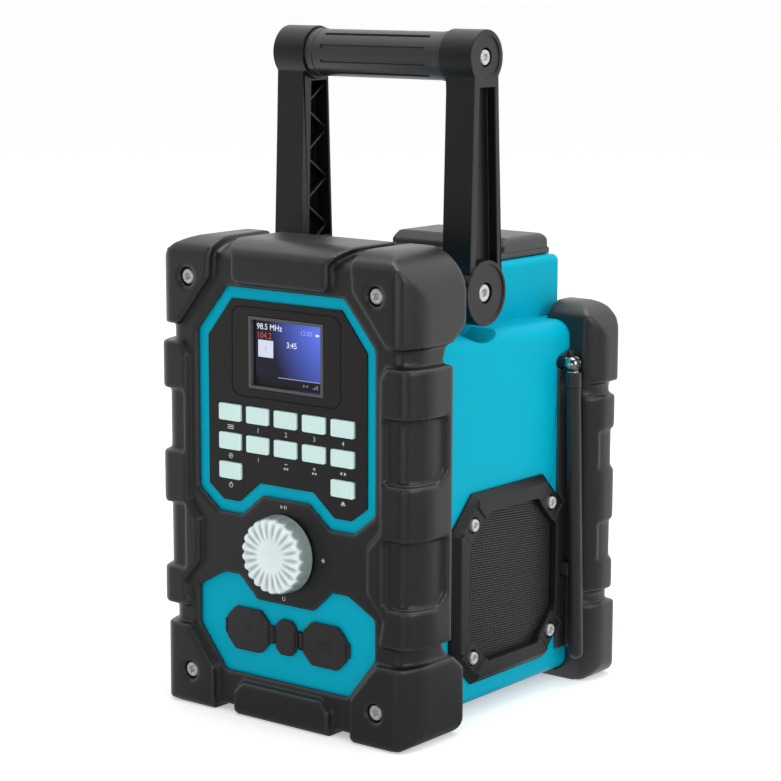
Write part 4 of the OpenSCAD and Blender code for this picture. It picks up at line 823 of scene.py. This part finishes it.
# ---------------------------------------------------------------- lid
# The battery lid: a moulded cover of black plastic with a soft-edged raised part, hinged on a pin at its
# front. A latch at its back, of the same plastic as the handle's arms, keeps it shut.
lid_black = (0.040, 0.040, 0.0405)
lid_edge = 0.8 * MM
latch_edge = 0.4 * MM
lid_finish = moulded_finish("lid_black", lid_black, 0.42, 0.4 * MM, 0.015 * MM, specular=0.55)
piece = copy_of("battery_lid", "battery_lid_moulding")
round_edges(piece, lid_edge, steps=4)
dress(piece, lid_finish, "black_plastic", "lid", "battery_lid")
piece = copy_of("lid_latch", "lid_latch_moulding")
round_edges(piece, latch_edge)
dress(piece, handle_finish, "black_plastic", "latch", "lid_latch")

# ---------------------------------------------------------------- screws
# Domed socket screws of plain bright steel, turned, in the guards, the speaker rings, the handle's caps
# and its pivots.
bright_grey = (0.66, 0.66, 0.65)
steel_metallic = 0.65
least_roughness = 0.03
stain_scale = 400
stain_strength, stain_depth = 0.25, 0.01 * MM
screw_edge = 0.9 * MM


def metal_finish(name, colour, roughness, brushed=0.1, metallic=1.0):
    """Bare metal: its roughness wanders by brushed, and fine stains catch the light."""
    finish, nodes, links, shader, place = new_finish(name)
    shader.inputs["Base Color"].default_value = (*colour, 1)
    shader.inputs["Metallic"].default_value = metallic
    stains = noise(nodes, links, place, stain_scale, 4)
    polished, dull = max(least_roughness, roughness - brushed), roughness + brushed
    links.new(mapped(nodes, links, stains, (0, 1), (polished, dull)), shader.inputs["Roughness"])
    raise_grain(nodes, links, shader, stains, stain_strength, stain_depth)
    return finish


steel_finish = metal_finish("bright_steel", bright_grey, 0.30, metallic=steel_metallic)
for node in ("front_guard_screws", "rear_guard_screws", "speaker_screws", "grip_screws", "pivot_screws"):
    piece = copy_of(node, node + "_turned")
    round_edges(piece, screw_edge, steps=4)
    dress(piece, steel_finish, "bright_steel", frame["nodes"][node]["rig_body"], node)

# ---------------------------------------------------------------- antenna
# A rod of black plastic on a polished metal joint at its upper end. Next to the case the joint's stem takes
# the handle's black plastic as painted shade of the dark hole it stands in. A clip of the same black plastic
# as the rod holds the rod when it is stowed.
chrome_grey = (0.60, 0.58, 0.56)
rod_black = (0.020, 0.0195, 0.0195)
joint_edge = 0.3 * MM
rod_edge = 0.4 * MM
ball_reach = 4.4 * MM
shaded_stem_beyond = 0.9 * ball_reach
neck_radius, neck_line = 3.2 * MM, 1.2 * MM
neck_below = 4.7 * MM
chrome_finish = metal_finish("chrome", chrome_grey, 0.16, brushed=0.05)
rod_finish = moulded_finish("rod_black", rod_black, 0.35, 0.4 * MM, 0.01 * MM)
piece = copy_of("antenna_base", "antenna_base_turned")
round_edges(piece, joint_edge)
dress(piece, chrome_finish, "chrome_metal", "chassis", "antenna_base")
# the stem's faces nearest the case take the handle's black plastic as painted shade
piece.data.materials.append(handle_finish)
pin_low, pin_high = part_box("antenna_pin")
pin_y, pin_z = (pin_low.y + pin_high.y) / 2, (pin_low.z + pin_high.z) / 2
ball_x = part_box("antenna_base")[1].x - ball_reach
for face in piece.data.polygons:
    face.material_index = 1 if face.center.x < ball_x - shaded_stem_beyond else 0
bpy.ops.object.select_all(action="DESELECT")
bpy.ops.mesh.primitive_torus_add(major_radius=neck_radius, minor_radius=neck_line / 2, major_segments=32,
    minor_segments=10, location=(ball_x, pin_y, pin_z - neck_below))
piece = joined("antenna_neck_ring", [bpy.context.object])
bpy.ops.object.shade_smooth()
dress(piece, chrome_finish, "chrome_metal", "antenna")
for node, body in (("antenna_rod", "antenna"), ("antenna_clip", "chassis")):
    piece = copy_of(node, node + "_moulding")
    round_edges(piece, rod_edge)
    dress(piece, rod_finish, "black_plastic", body, node)

# ---------------------------------------------------------------- inner pieces
# What the case hides keeps its CAD shape: pressed and turned metal, green boards, moulded carriers and
# paper cones, all held inside the housing and the fascia.
board_green = (0.01, 0.10, 0.035)
basket_grey = (0.13, 0.13, 0.14)
cone_black = (0.015, 0.015, 0.016)
foam_grey = (0.07, 0.07, 0.07)
tube_grey = (0.60, 0.60, 0.62)
brass_yellow = (0.70, 0.50, 0.20)
board_finish = moulded_finish("board_green", board_green, 0.4, 0.8 * MM, 0.02 * MM)
basket_finish = moulded_finish("basket_grey", basket_grey, 0.45, 0.5 * MM, 0.02 * MM)
cone_finish = moulded_finish("cone_black", cone_black, 0.7, 0.6 * MM, 0.04 * MM, specular=0.3)
seal_finish = moulded_finish("seal_foam", foam_grey, 0.8, 0.6 * MM, 0.06 * MM, specular=0.2)
tube_finish = metal_finish("drawn_tube", tube_grey, 0.3)
brass_finish = metal_finish("contact_brass", brass_yellow, 0.3)
for finish, hidden in (
    (steel_finish, ("display_module", "encoder_body", "encoder_plunger", "encoder_shaft", "usb_socket",
                    "pivot_bushes", "lid_hinge_pin", "antenna_pin")),
    (board_finish, ("keypad_board", "main_board")),
    (handle_finish, ("aux_jack", "battery_bay")),
    (basket_finish, ("loudspeaker_left", "loudspeaker_right")),
    (cone_finish, ("speaker_cone_left", "speaker_cone_right")),
    (seal_finish, ("lid_gasket",)),
    (tube_finish, ("grip_tube",)),
    (brass_finish, ("battery_terminals",)),
):
    for node in hidden:
        finish_node(node, finish)
